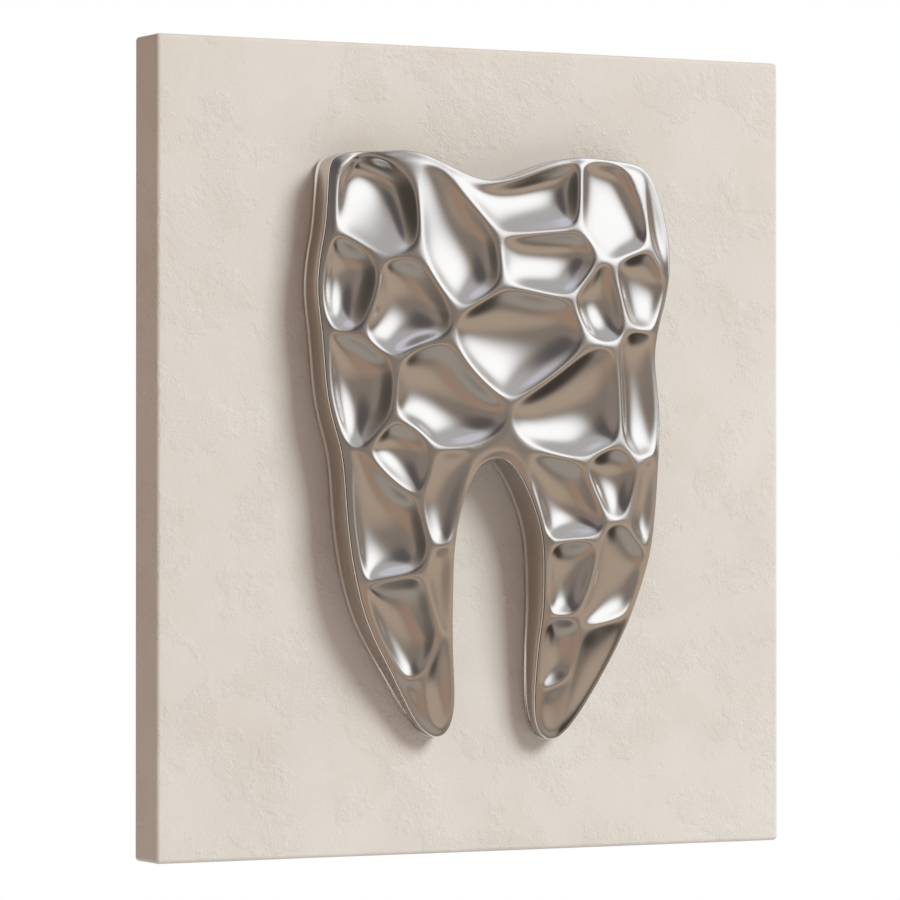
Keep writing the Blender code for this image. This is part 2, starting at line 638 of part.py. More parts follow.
def build_tooth(coat, face, metal, zinc, steel):
    shell = add_part("tooth_shell", ToothCage().mesh("tooth_shell"), metal)
    smooth = shell.modifiers.new("smooth", 'SUBSURF')
    smooth.levels = smooth.render_levels = SMOOTHING_LEVELS

    def recess(name, distance, floor_y):
        outer_y = TOOTH_BACK + PAST
        loop = list(inset_outline(distance).values())
        return make_cutter(name, slab_mesh(name, [loop], (outer_y - floor_y) / 2,
                                           (0, (outer_y + floor_y) / 2, 0), DRAWN_FROM_FRONT))

    cut(shell, recess("plate_rebate", TOOTH_RIM, LEDGE_Y))
    cut(shell, recess("back_pocket", TOOTH_RIM + TOOTH_LEDGE, POCKET_Y))

    plate_loop = list(inset_outline(TOOTH_RIM + GAP).values())
    plate = add_part("tooth_back_plate", slab_mesh(
        "tooth_back_plate", [plate_loop], BACK_PLATE / 2,
        (0, (PLATE_FRONT_Y + PLATE_BACK_Y) / 2, 0), DRAWN_FROM_FRONT), zinc)

    studs = stud_spots()
    stud_tip = POCKET_Y - STUD_DEPTH_IN_TOOTH
    bores = make_cutter("stud_bores", cylinders_mesh(
        "stud_bores", studs, STUD_RADIUS + STUD_CLEARANCE, stud_tip - GAP, FRAME_FRONT + PAST))
    for obj in (shell, plate, coat, face):
        cut(obj, bores)
    add_stud_sets(studs, stud_tip, zinc, steel)

    spots = inset_outline(TOOTH_RIM + TOOTH_LEDGE / 2)
    for number, spot in enumerate(PLATE_SCREW_SPOTS, 1):
        x, z = spots[spot]
        name = f"plate_screw_{number}"
        location = (x, PLATE_BACK_Y - GAP, z)
        add_screw(name, flat_head(PLATE_SCREW), location, FACES_WALL, steel)
        bore = screw_bore(name + "_bore", flat_head(PLATE_SCREW, GAP, PAST), location, FACES_WALL)
        cut(shell, bore)
        cut(plate, bore)


def add_stud_sets(studs, stud_tip, zinc, steel):
    """Stud, washer and nut at each fixing of the tooth"""
    length = STUD_END_Y - stud_tip
    chamfer = STUD_CHAMFER
    profile = [(0, length), (STUD_RADIUS - chamfer, length), (STUD_RADIUS, length - chamfer),
               (STUD_RADIUS, chamfer), (STUD_RADIUS - chamfer, 0), (0, 0)]
    washer_y = BOARD_BACK + GAP + WASHER / 2
    nut_y = BOARD_BACK + WASHER + 2 * GAP + NUT / 2
    nut_radius = NUT_ACROSS_FLATS / math.sqrt(3)
    for number, (x, z) in enumerate(studs, 1):
        add_screw(f"mount_stud_{number}", profile, (x, stud_tip, z), FACES_WALL, steel)
        hole = circle((0, 0), STUD_RADIUS + GAP)
        washer = slab_mesh("washer", [circle((0, 0), WASHER_RADIUS), hole], WASHER / 2,
                           (x, washer_y, z), DRAWN_FROM_FRONT)
        add_part(f"stud_washer_{number}", washer, zinc)
        nut = slab_mesh("nut", [circle((0, 0), nut_radius, 6), hole], NUT / 2,
                        (x, nut_y, z), DRAWN_FROM_FRONT)
        add_part(f"stud_nut_{number}", nut, zinc)


def strap_outline():
    """Side view of the folded strap about the ring's axis: plate below, knuckle round the axis"""
    inner = -KNUCKLE_RADIUS + STRAP
    meets = math.degrees(math.atan2(-math.sqrt(KNUCKLE_RADIUS ** 2 - inner ** 2), inner)) + 360
    return [(-KNUCKLE_RADIUS, -STRAP_LENGTH), (inner, -STRAP_LENGTH),
            *arc((0, 0), KNUCKLE_RADIUS, meets, 540, 20)]


def ring_points():
    """Centre line of the ring about its axis: a straight bar, two legs and a round bottom"""
    w, c = RING_HALF_WIDTH, RING_CORNER
    right = arc((w - c, -c), c, 90, 0, 4)
    bottom = [(w * math.cos(a), -RING_LEG - (RING_DROP - RING_LEG) * math.sin(a))
              for a in (math.pi * i / 16 for i in range(17))]
    left = arc((-w + c, -c), c, 180, 90, 4)
    return right + bottom + left


def build_hangers(rail, zinc, steel):
    for side, name in ((-1, "left"), (1, "right")):
        x = side * HANGER_X
        strap = add_part(f"{name}_hanger_strap", slab_mesh(
            "strap", [strap_outline(), circle((0, 0), KNUCKLE_BORE)], STRAP_WIDTH / 2,
            (x, RING_AXIS_Y, RING_AXIS_Z), DRAWN_FROM_SIDE), zinc)

        wire = bpy.data.curves.new(f"{name}_hanger_ring", 'CURVE')
        wire.dimensions = '3D'
        wire.bevel_depth = RING_WIRE
        wire.bevel_resolution = 2
        spline = wire.splines.new('POLY')
        points = ring_points()
        spline.points.add(len(points) - 1)
        for point, (u, v) in zip(spline.points, points):
            point.co = (u, 0, v, 1)
        spline.use_cyclic_u = True
        ring = add_part(f"{name}_hanger_ring", wire, steel)
        ring.location = (x, RING_AXIS_Y, RING_AXIS_Z)

        for number, drop in enumerate(STRAP_SCREWS, 1):
            screw_name = f"{name}_hanger_screw_{number}"
            location = (x, STRAP_BACK + STRAP + GAP, RING_AXIS_Z - drop)
            add_screw(screw_name, pan_head(HANGER_SCREW), location, FACES_WALL, zinc)
            bore = make_cutter(screw_name + "_bore", cylinders_mesh(
                screw_name + "_bore", [(x, RING_AXIS_Z - drop)], HANGER_SCREW[2] + GAP,
                location[1] - HANGER_SCREW[3] - GAP, location[1] + PAST, 16))
            cut(rail, bore)
            cut(strap, bore)


def shade_round_pieces():
    for obj in PARTS.objects:
        if obj.type == 'MESH':
            obj.data.shade_smooth()
            obj.data.set_sharp_from_angle(angle=math.radians(40))


def build():
    plaster = principled("plaster", (0.72, 0.66, 0.59), 0.9)
    metal = principled("polished_metal", (0.66, 0.62, 0.59), 0.18, 1.0)
    board = principled("fibreboard", (0.36, 0.25, 0.15), 0.85)
    timber = principled("pine", (0.62, 0.44, 0.25), 0.7)
    zinc = principled("zinc_plate", (0.60, 0.61, 0.63), 0.35, 1.0)
    steel = principled("bright_steel", (0.50, 0.50, 0.51), 0.3, 1.0)
    coat, face, bars, rails = build_panel(plaster, board, timber)
    add_frame_screws(bars, rails, steel)
    build_tooth(coat, face, metal, zinc, steel)
    build_hangers(bars["hanging_rail"], zinc, steel)
    shade_round_pieces()


build()
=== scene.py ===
"""Looks of the plastered wall panel with its polished metal tooth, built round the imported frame.

Everything is in metres in the frame's own place: origin on the wall behind the panel's centre,
+Z up, the front facing -Y. The tooth is drawn on the same grid of 1 mm as its CAD solid.
"""
import math

import bmesh
import bpy
import numpy as np
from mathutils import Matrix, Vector, noise
from mathutils.geometry import delaunay_2d_cdt


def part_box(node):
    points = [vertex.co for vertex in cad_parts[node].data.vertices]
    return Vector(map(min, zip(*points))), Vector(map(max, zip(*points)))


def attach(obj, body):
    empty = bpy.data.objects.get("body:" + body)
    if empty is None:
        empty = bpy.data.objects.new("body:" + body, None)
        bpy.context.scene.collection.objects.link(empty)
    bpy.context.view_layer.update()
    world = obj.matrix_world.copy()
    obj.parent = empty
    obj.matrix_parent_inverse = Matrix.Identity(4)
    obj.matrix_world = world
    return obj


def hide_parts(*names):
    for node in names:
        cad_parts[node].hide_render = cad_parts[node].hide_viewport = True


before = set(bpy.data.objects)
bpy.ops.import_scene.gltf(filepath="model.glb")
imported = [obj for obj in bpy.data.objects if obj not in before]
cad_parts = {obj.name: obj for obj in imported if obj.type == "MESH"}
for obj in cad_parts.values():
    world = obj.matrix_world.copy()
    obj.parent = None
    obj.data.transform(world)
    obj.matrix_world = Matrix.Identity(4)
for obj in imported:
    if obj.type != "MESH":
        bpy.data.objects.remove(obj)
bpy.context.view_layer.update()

MM = 0.001
PANEL_WIDTH = 0.700
PANEL_HEIGHT = 0.800
PANEL_DEPTH = 0.050
PLASTER = 0.003
PLASTER_ROUND = 0.0045
PLASTER_BACK = -0.001
PLASTER_CELLS = (56, 4, 64)
PLASTER_SHARP = 50
ARC_STEPS = 6
TROWEL_DEPTH = 0.00018
TROWEL_WAVES = 14

# Tooth: sizes in mm on the drawing's grid
TOOTH_BACK = 50.3
TOOTH_CENTRE_X = 5
EDGE_ROUND = 1.6
EDGE_DROP = 2.6
EDGE_ANGLES = (20, 40, 60, 80, 90)
FOOT_BEVEL = 2.0
FOOT_RISE = 4.5
# The side wall from the front edge back to the foot: share of its height, and how far it lies in
WALL_PROFILE = ((0.96, 0.3), (0.92, 0.35), (0.86, 0.1), (0.75, 0.0), (0.60, 0.1), (0.45, 0.4),
                (0.30, 0.9), (0.16, 1.5), (0.11, 1.4), (0.06, 0.7), (0.02, 0.1), (0, 0))
RIB_HALF_WIDTH = 1.4
STRAIGHT_SINE = 0.15
MITRE_LIMIT = 2.2
DOME_EDGE = 40
DOME_RISE = 10.4
DOME_HALF_SPAN = 200
ROOT_TAPER_START = -140
ROOT_TAPER = 0.2
CROWN_TAPER_START = 150
CROWN_TAPER = 0.05
PLATE_STIFFNESS = 4000
LIP_STEP = 1.5
LIP_RINGS = (0.5, 1.1, 1.8, 2.7, 3.8, 5.2)
LIP_ROLL = 4.2
LIP_SOFTNESS = 1.9
SHOULDER_RING = 0.7
SHOULDER_CLEAR = 0.85 * SHOULDER_RING
RIM_CLEAR = 1.6 * SHOULDER_RING
ROW_CLEAR = 0.93
RIB_CROWN = 0.4
RIB_REACH = 4.5
RIM_ROLL = 3.0
RIM_ROLL_WIDTH = 9.0
RIM_ROWS = (1.2, 2.6, 4.2, 6.0)
BOWL_LEAST = 0.15
GRID_STEP = 2.4
WELD_GAP = 1e-6
TINY = 1e-9
FAR = 1e9
MOST_STEPS = 2000
SOLVED = 1e-12

# The tooth's back, as its CAD solid has it: a rebate for the plate, a pocket and the bores
REBATE_INSET = 6
REBATE_DEPTH = 3.3
POCKET_INSET = 18
POCKET_DEPTH = 16
ROOT_TIPS = -250
SCREW_INSET = 12
SCREW_BORE = 2.1
SCREW_BORE_END = 12.1
SCREW_SPOTS = ("T13", "T3", "L9", "R11", "L16", "R4")
STUD_BORE = 4.5
STUD_BORE_END = 26.3
STUD_SPOTS = [(-107, 150), (117, 150), (-107, -90), (117, -90)]
WELD = 0.000002

# Other pieces, in metres
STUD_RADIUS = 0.004
STUD_THREAD = 0.016
THREAD_DEPTH = 0.0006
THREAD_PITCH = 0.00125
THREAD_CREST = 0.1
STUD_TIP = 0.0008
STUD_PLAY = 0.0003
WASHER_RADIUS = 0.008
WASHER_EDGE = 0.0003
NUT_HALF = 0.0065
NUT_CHAMFER = 0.94
NUT_EDGE = 0.0005
# Marks the points of a nut's profile that lie on its six flats
NUT_FLATS = -1
SCREW_HEAD = 0.0033
SCREW_HEAD_HEIGHT = 0.0020
SCREW_CROWN = 0.6
SCREW_SHANK = 0.0017
SCREW_CORE = 0.68
SCREW_TIP = 0.35
SCREW_NECK = 0.0003
SCREW_PITCH = 0.0011
RECESS_HALF_WIDTH = 0.00035
RECESS_REACH = 0.0016
RECESS_DEPTH = 0.0009
RECESS_SLOPE = 0.0002
RECESS_END_SLOPE = 0.0003
RECESS_RISE = 0.4
RING_WIRE = 0.0015
RING_HALF_WIDTH = 0.0145
RING_LEG = 0.007
RING_DROP = 0.020
RING_CORNER = 0.003
RING_AXIS_Y = -0.01305
RING_AXIS_Z = 0.300
STRAP_BEVEL = 0.00025
TIMBER_BEVEL = 0.0009

# Finish and studio
METAL_ROUGHNESS = 0.10
SIDE_ROUGHNESS = 0.14
FOCAL_LENGTH = 189.5206
CAMERA_PLACE = (-2.214972, -4.213240, -0.047841)
CAMERA_YAW = 27.6743
CAMERA_PITCH = 0.57856
FILL_COLOUR = (1.0, 0.62, 0.43)
FILL_LEVEL = 0.31
FLOOR_Z = -1.25
FLOOR_RADIUS = 7.0
FLOOR_MIDDLE = 0.5
FLOOR_SIDES = 96
FLOOR_GLOW = 0.12
LIGHTS = [
    ("key_softbox", 36, 35, 16.0, 6.4, 2400, (0.86, 0.965, 1.0)),
    ("back_softbox", 180, 28, 14.0, 3.0, 850, (0.95, 0.98, 1.0)),
]
TENT_RADIUS = 9.0
TENT_STEPS = 180
CARD_EDGE = 2.2
SCREEN_GAMMA = 2.2
ROOM_TONE = (0.485, 0.445, 0.41)
# Cards round the set, seen in the metal: azimuth, elevation, half width, half height and tilt in
# degrees, and tone. The window is the opening where the white background shows.
CARDS = {
    "ceiling": (0, 90, 400, 24, 0, (0.36, 0.36, 0.38)),
    "floor": (0, -90, 400, 33, 0, (0.29, 0.28, 0.26)),
    "upper_card": (44, 48, 62, 24, 0, (0.66, 0.65, 0.65)),
    "side_card": (104, 26, 26, 15, 0, (0.92, 0.91, 0.89)),
    "left_wall": (-84, 10, 54, 60, 0, (0.26, 0.24, 0.22)),
    "flag": (0, 26, 16, 20, 12, (0.34, 0.32, 0.32)),
    "left_card": (-24, 4, 10, 22, 0, (0.50, 0.46, 0.43)),
    "brown_card": (55, -12, 52, 11, 4, (0.64, 0.57, 0.505)),
    "low_flag": (84, -32, 30, 11, -6, (0.24, 0.22, 0.20)),
    "warm_card": (-5, -22, 30, 11, -12, (0.58, 0.49, 0.425)),
    "low_card": (15, -43, 58, 11, 0, (0.57, 0.54, 0.505)),
    "violet_card": (26, 60, 44, 7, 6, (0.75, 0.745, 0.785)),
    "corner_card": (108, -55, 14, 8, 0, (0.95, 0.95, 0.95)),
    "rear_card": (180, 20, 45, 45, 0, (0.92, 0.92, 0.92)),
    "top_card": (0, 90, 400, 14, 0, (0.80, 0.80, 0.80)),
    "bottom_card": (0, -90, 400, 16, 0, (0.72, 0.71, 0.70)),
}
WINDOW = (50, 19, 31, 19, 4)


def table_rows(text):
    """Rows of a name and whole numbers, with commas between the rows"""
    return [[name, *map(int, numbers)] for name, *numbers in map(str.split, text.split(","))]


# The outline, counter-clockwise from its top left corner: name, x, z, height over the panel, rim width
OUTLINE = table_rows("""
L0 -182 285 38 7, L1 -184 260 40 9, L2 -186 236 41 10, L3 -188 213 41 9, L4 -194 186 40 4, L5 -197 153 40 4,
L6 -192 118 41 4, L7 -189 88 41 3, L8 -187 58 41 3, L9 -181 28 42 3, L10 -172 2 43 5, L11 -168 -28 43 5,
L12 -166 -62 43 5, L13 -162 -97 43 6, L14 -155 -131 42 6, L15 -146 -160 40 6, L16 -133 -187 37 6,
L17 -115 -214 33 5, L18 -100 -238 28 4, L19 -85 -262 24 4, L20 -70 -280 21 3, M0 -51 -287 20 3,
M1 -39 -272 22 3, M2 -38 -246 27 3, M3 -43 -217 34 3, M4 -48 -185 40 3, M5 -50 -150 45 3, M6 -51 -118 48 3,
M7 -50 -90 49 3, M8 -43 -58 50 3, M9 -33 -33 49 4, V1 -21 -15 47 4, V2 -3 -8 46 4, V3 13 -12 47 4,
N0 25 -28 49 4, N1 36 -49 50 3, N2 45 -73 50 3, N3 49 -94 49 3, N4 51 -130 47 3, N5 51 -166 44 3,
N6 49 -192 39 3, N7 49 -218 34 3, N8 49 -243 30 3, N9 52 -270 25 3, N10 62 -288 21 3, N11 79 -291 20 3,
R1 97 -275 20 3, R2 115 -249 22 3, R3 131 -222 25 3, R4 146 -194 28 3, R5 159 -165 31 3, R6 170 -136 33 3,
R7 179 -106 34 3, R8 184 -72 34 3, R9 187 -38 34 3, R10 188 -4 34 3, R11 192 28 33 3, R12 189 62 33 3,
R13 184 92 33 3, R14 188 120 33 4, R15 197 143 31 6, R16 203 166 29 3, R17 206 197 28 3, R18 201 228 28 3,
R19 193 255 29 3, R20 182 277 31 3, T1 167 288 34 3, T2 145 290 37 3, T3 120 292 39 3, T4 96 293 40 3,
T5 68 289 41 7, T6 42 280 41 5, T7 15 269 41 3, T8 -13 265 41 3, T9 -40 274 41 3, T10 -64 285 41 4,
T11 -82 291 41 6, T12 -100 294 41 5, T13 -125 291 39 3, T14 -156 291 38 3
""")

# Where the ribs meet or bend: name, x, z
RIB_POINTS = table_rows("""
a -133 187, b -88 190, c -152 112, d -115 86, e -56 108, f -49 134, g 2 161, h -3 212, i 90 219, j 114 190,
k 129 187, l 80 151, m 101 106, n 133 104, o 147 121, p 176 204, q 8 46, r 9 19, s 94 -12, t 138 6,
u 161 -13, v 122 -73, w 145 -71, x 111 -89, y 90 -166, z 96 -180, aa -147 -2, bb -119 30, cc -75 0,
dd -89 -49, ee -77 -95, ff -85 -121, gg -63 -183, hh -77 -222, ii -30 2, jj 32 1, kk 89 -229, g1 157 269,
f1 171 262, f2 172 236, f3 189 187, ab -88 232, ac -92 264, ad -158 204, ae -131 162, af -140 137,
ag -73 166, ah -88 102, ai -24 146, aj 1 187, ak 24 213, al 60 217, am -17 229, an -42 255, ao 93 247,
ap 94 270, aq 103 208, ar 96 168, as 28 158, at 56 153, au 137 156, av 87 132, aw 151 196, ax 166 120,
ay 32 57, az 66 78, ba -12 59, bc -36 80, bd -114 58, be -92 20, bf -54 0, bg 62 -6, bh 136 72, bi 138 38,
bj 116 0, bk 173 -6, bl 101 -33, bm 112 -53, bn 156 -40, bo 158 -90, bp 80 -89, bq 108 -112, br 101 -140,
bs 70 -166, bt 128 -173, bu 93 -203, bv 69 -237, bw 85 -250, bx 81 -270, by -79 -25, bz -108 -40,
ca -129 -22, cb -134 14, cd -85 -72, ce -64 -95, cf -112 -125, cg -137 -130, ch -76 -152, ci -69 -202,
cj -93 -228, ck -74 -243, cl -66 -267, cm -172 113, cn -160 1, co -134 97, da -163 278
""")

# The hollows between the ribs: depth, roundness (1 is a bowl, less is a flatter floor with steeper
# walls), how the depth leans to the right and upwards, and the points round it, counter-clockwise
HOLLOWS = [
    (14, .50, .4, .7, "T14 da L1 L2 L3 ad a b ab ac T13"),
    (11, .75, .4, -.1, "ac ab b ag f ai g aj h am an T10 T11"),
    (13, .80, -.1, 0, "L3 L4 L5 L6 cm c af ae a ad"),
    (14, .75, .1, 0, "a ae af c co d ah e f ag b"),
    (10, .60, .5, .4, "T10 an am h ak al i ao ap T4 T5 T6 T7 T8 T9"),
    (9, .50, .4, .4, "T4 ap ao i aq j k aw p f2 g1 T2 T3"),
    (4, .70, 0, 0, "T1 f1 f2 p f3 R16 R17 R18 R19 R20"),
    (9, .70, -.1, .1, "k au o ax R14 R15 R16 f3 p aw"),
    (11, .75, 0, 0, "j ar l av m n o au k"),
    (10, .70, .4, .1, "h aj g as at l ar j aq i al ak"),
    (14, .75, .1, 0, "f e bc ba q ay az m av l at as g ai"),
    (13, .75, -.1, -.1, "L6 L7 L8 L9 L10 cn aa cb bb bd d co c cm"),
    (14, .75, .1, -.1, "d bd bb be cc bf ii r q ba bc e ah"),
    (8, .75, -.1, .1, "bb cb aa ca bz dd by cc be"),
    (5, .70, 0, -.3, "cc by dd cd ee ce M7 M8 M9 ii bf"),
    (13, .80, .2, -.1, "q r jj bg s bj t bi bh n m az ay"),
    (9, .70, -.3, 0, "n bh bi t u bk R10 R11 R12 R13 R14 ax o"),
    (9, .75, 0, 0, "s bl bm v w bn u t bj"),
    (12, .75, .1, -.3, "jj N0 N1 N2 N3 bp x v bm bl s bg"),
    (6, .75, 0, 0, "u bn w bo R7 R8 R9 R10 bk"),
    (10, .75, 0, 0, "v x bq br y z bt R5 R6 R7 bo w"),
    (10, .75, 0, 0, "N3 N4 N5 bs y br bq x bp"),
    (3, .90, 0, 0, "z bu kk bw bx N11 R1 R2 R3 R4 R5 bt"),
    (8, .75, -.1, .1, "N5 N6 N7 N8 bv kk bu z y bs"),
    (2, .90, 0, 0, "N8 N9 N10 N11 bx bw kk bv"),
    (12, .65, .1, -.2, "L10 L11 L12 L13 L14 cg cf ff ee cd dd bz ca aa cn"),
    (12, .70, .1, .1, "L14 L15 L16 L17 cj hh ci gg ch ff cf cg"),
    (5, .70, .2, -.2, "ee ff ch gg M4 M5 M6 M7 ce"),
    (4, .85, .1, .1, "gg ci hh ck cl M0 M1 M2 M3 M4"),
    (2, .90, 0, 0, "L17 L18 L19 L20 M0 cl ck hh cj"),
]

PLACE = {name: np.array([x, z], float) for name, x, z, *_ in OUTLINE + RIB_POINTS}
RIM = {name: rim for name, x, z, height, rim in OUTLINE}
RING = list(RIM)
AFTER = dict(zip(RING, RING[1:] + RING[:1]))


def inset_loop(names, width):
    """Loop through named points after each side has moved inwards by its own width"""
    corners = []
    for i, here in enumerate(names):
        before, after = names[i - 1], names[(i + 1) % len(names)]
        widths = (width(before, here), width(here, after))
        sides = np.array([PLACE[here] - PLACE[before], PLACE[after] - PLACE[here]])
        normals = sides[:, ::-1] * (-1, 1) / np.linalg.norm(sides, axis=1)[:, None]
        if abs(np.linalg.det(normals)) < STRAIGHT_SINE:
            shift = normals.sum(axis=0)
            shift *= sum(widths) / 2 / np.linalg.norm(shift)
        else:
            shift = np.linalg.solve(normals, widths)
            shift *= min(1, MITRE_LIMIT * max(widths) / np.linalg.norm(shift))
        corners.append(PLACE[here] + shift)
    return np.array(corners)


def inset_ring(distance, lowest=-math.inf):
    """Corners of the outline moved inwards, those above a height only"""
    names = [name for name in RING if PLACE[name][1] > lowest]
    return inset_loop(names, lambda start, end: distance)


def side_width(start, end):
    if AFTER.get(start) == end:
        return (RIM[start] + RIM[end]) / 2
    return RIB_HALF_WIDTH


def spline(control, counts):
    """Closed uniform cubic B-spline with that many points on each span"""
    points = []
    for i, count in enumerate(counts):
        a, b, c, d = (control[(i + k) % len(control)] for k in (-1, 0, 1, 2))
        for t in np.arange(count) / count:
            s = 1 - t
            points.append((s ** 3 * a + (3 * t ** 3 - 6 * t * t + 4) * b
                           + (3 * s ** 3 - 6 * s * s + 4) * c + t ** 3 * d) / 6)
    return np.array(points)


def span_counts(control):
    lengths = np.linalg.norm(np.roll(control, -1, axis=0) - control, axis=1)
    return [max(2, math.ceil(length / LIP_STEP)) for length in lengths]


def hollow_lips():
    """Each hollow's edge: its corners moved in by half a rib or the rim, joined by a smooth curve"""
    controls = [inset_loop(names.split(), side_width) for *_, names in HOLLOWS]
    return [spline(control, span_counts(control)) for control in controls]


def inside(points, loop):
    """Which points lie inside a closed loop"""
    found = np.zeros(len(points), bool)
    x, z = points.T
    for (ax, az), (bx, bz) in zip(loop, np.roll(loop, -1, axis=0)):
        if az != bz:
            crosses = (az > z) != (bz > z)
            found ^= crosses & (x < (bx - ax) * (z - az) / (bz - az) + ax)
    return found


def distance_to(points, loop):
    """Shortest distance from each point to a closed loop"""
    best = np.full(len(points), FAR)
    for a, b in zip(loop, np.roll(loop, -1, axis=0)):
        along = b - a
        t = np.clip(((points - a) @ along) / (along @ along), 0, 1)
        best = np.minimum(best, np.linalg.norm(points - a - t[:, None] * along, axis=1))
    return best


def offset_loop(loop, distance):
    """Loop moved inwards along its own normals"""
    tangent = np.roll(loop, -1, axis=0) - np.roll(loop, 1, axis=0)
    tangent /= np.linalg.norm(tangent, axis=1)[:, None]
    return loop + distance * np.stack([-tangent[:, 1], tangent[:, 0]], axis=1)


def clear_row(loop, depth_in):
    """Loop moved inwards, without the points that come too near another of its sides"""
    row = offset_loop(loop, depth_in)
    return row[distance_to(row, loop) > ROW_CLEAR * depth_in]


def lip_distance(points, lips, margin=GRID_STEP):
    """Distance to the nearest lip, exact only within the margin of a lip"""
    gap = np.full(len(points), FAR)
    for lip in lips:
        low, high = lip.min(axis=0) - margin, lip.max(axis=0) + margin
        spots = np.nonzero(((points > low) & (points < high)).all(axis=1))[0]
        gap[spots] = np.minimum(gap[spots], distance_to(points[spots], lip))
    return gap


def rib_top_height(points):
    """Height of the rib tops over the panel: a thin plate bent through the drawn heights"""
    spots = np.array(list(PLACE.values()), float)
    heights = [height for *_, height, rim in OUTLINE]
    for name, x, z in RIB_POINTS:
        rise = DOME_RISE * (1 - ((x - TOOTH_CENTRE_X) / DOME_HALF_SPAN) ** 2)
        root = ROOT_TAPER * max(0, ROOT_TAPER_START - z)
        crown = CROWN_TAPER * max(0, z - CROWN_TAPER_START)
        heights.append(DOME_EDGE + rise - root - crown)

    def bend(places):
        square = ((places[:, None, :] - spots[None, :, :]) ** 2).sum(axis=2)
        return 0.5 * square * np.log(square + TINY)

    def plane(places):
        return np.column_stack([np.ones(len(places)), places])

    count = len(spots)
    system = np.zeros((count + 3, count + 3))
    system[:count, :count] = bend(spots) + PLATE_STIFFNESS * np.eye(count)
    system[:count, count:] = plane(spots)
    system[count:, :count] = plane(spots).T
    weights = np.linalg.solve(system, np.concatenate([heights, np.zeros(3)]))
    return bend(points) @ weights[:-3] + plane(points) @ weights[-3:]


def numbered(loops):
    """The points of some loops in one array, and each loop's point numbers"""
    starts = np.cumsum([0] + [len(loop) for loop in loops])
    return np.concatenate(loops), [list(range(a, b)) for a, b in zip(starts, starts[1:])]


def triangulate(points, loops):
    """Triangles of a flat region: its points, and the loops of point numbers that bound it"""
    edges = [(loop[i - 1], loop[i]) for loop in loops for i in range(len(loop))]
    flat = [Vector(point) for point in points]
    _, _, faces, origin, _, _ = delaunay_2d_cdt(flat, edges, [], 0, WELD_GAP)
    return np.array([[origin[i][0] for i in face] for face in faces])


class Sheet:
    """Stretched sheet on the triangles: how it pulls between its points, and the area at each"""

    def __init__(self, points, faces):
        corner, self.start, self.end = (faces[:, order].T.ravel()
                                        for order in ((0, 1, 2), (1, 2, 0), (2, 0, 1)))
        first, second = points[self.start] - points[corner], points[self.end] - points[corner]
        double_area = np.abs(first[:, 0] * second[:, 1] - first[:, 1] * second[:, 0])
        self.weight = (first * second).sum(axis=1) / np.maximum(double_area, TINY) / 2
        self.total = len(points)
        self.area = self.gather(corner, double_area / 6)
        self.own_pull = self.gather(self.start, self.weight) + self.gather(self.end, self.weight)

    def gather(self, places, values):
        return np.bincount(places, values, self.total)

    def pull(self, u):
        spread = self.gather(self.start, self.weight * u[self.end])
        spread += self.gather(self.end, self.weight * u[self.start])
        return self.own_pull * u - spread

    def solve(self, load, free, holding):
        """Conjugate gradients for pull(u) + holding * u = load over the free points"""
        diagonal = self.own_pull + holding
        diagonal = np.where(free & (diagonal > 0), diagonal, 1)
        u = np.zeros(self.total)
        residual = load * free
        scaled = residual / diagonal
        direction = scaled.copy()
        energy = first_energy = residual @ scaled
        for _ in range(MOST_STEPS):
            pushed = np.where(free, self.pull(direction) + holding * direction, 0)
            step = energy / (direction @ pushed)
            u += step * direction
            residual -= step * pushed
            scaled = residual / diagonal
            energy, last = residual @ scaled, energy
            if energy < SOLVED * first_energy:
                break
            direction = scaled + energy / last * direction
        return u

    def softened(self, values, reach):
        """Values with everything finer than the reach rounded off"""
        holding = self.area * 2 / reach ** 2
        middle = values.mean()
        return middle + self.solve(holding * (values - middle), np.ones(self.total, bool), holding)


def rib_points(front_ring, lips):
    """Rows of points on the rib's side of every lip, and along the tooth's own edge"""
    rows = np.concatenate([offset_loop(lip, -SHOULDER_RING) for lip in lips])
    rows = rows[inside(rows, front_ring)]
    rows = rows[distance_to(rows, front_ring) > SHOULDER_RING]
    kept = [rows[lip_distance(rows, lips) > SHOULDER_CLEAR]]
    for depth_in in RIM_ROWS:
        row = clear_row(front_ring, depth_in)
        row = row[lip_distance(row, lips) > RIM_CLEAR]
        for lip in lips:
            row = row[~inside(row, lip)]
        kept.append(row)
    return kept


def grid_points(front_ring, lips):
    """Even grid of points away from all rows of points, and the hollow that each lies in, or -1"""
    low, high = front_ring.min(axis=0), front_ring.max(axis=0)
    rows = np.arange(low[1], high[1], GRID_STEP * math.sqrt(3) / 2)
    grid = np.array([(x + GRID_STEP / 2 * (row % 2), z) for row, z in enumerate(rows)
                     for x in np.arange(low[0], high[0], GRID_STEP)])
    grid = grid[inside(grid, front_ring)]
    home = np.full(len(grid), -1)
    for number, lip in enumerate(lips):
        home[inside(grid, lip)] = number
    gap, edge_gap = lip_distance(grid, lips), distance_to(grid, front_ring)
    near = np.where(home >= 0, gap < LIP_RINGS[-1] + GRID_STEP / 2,
                    (gap < SHOULDER_RING + GRID_STEP / 2) | (edge_gap < RIM_ROWS[-1] + GRID_STEP / 2))
    return grid[~near], home[~near]


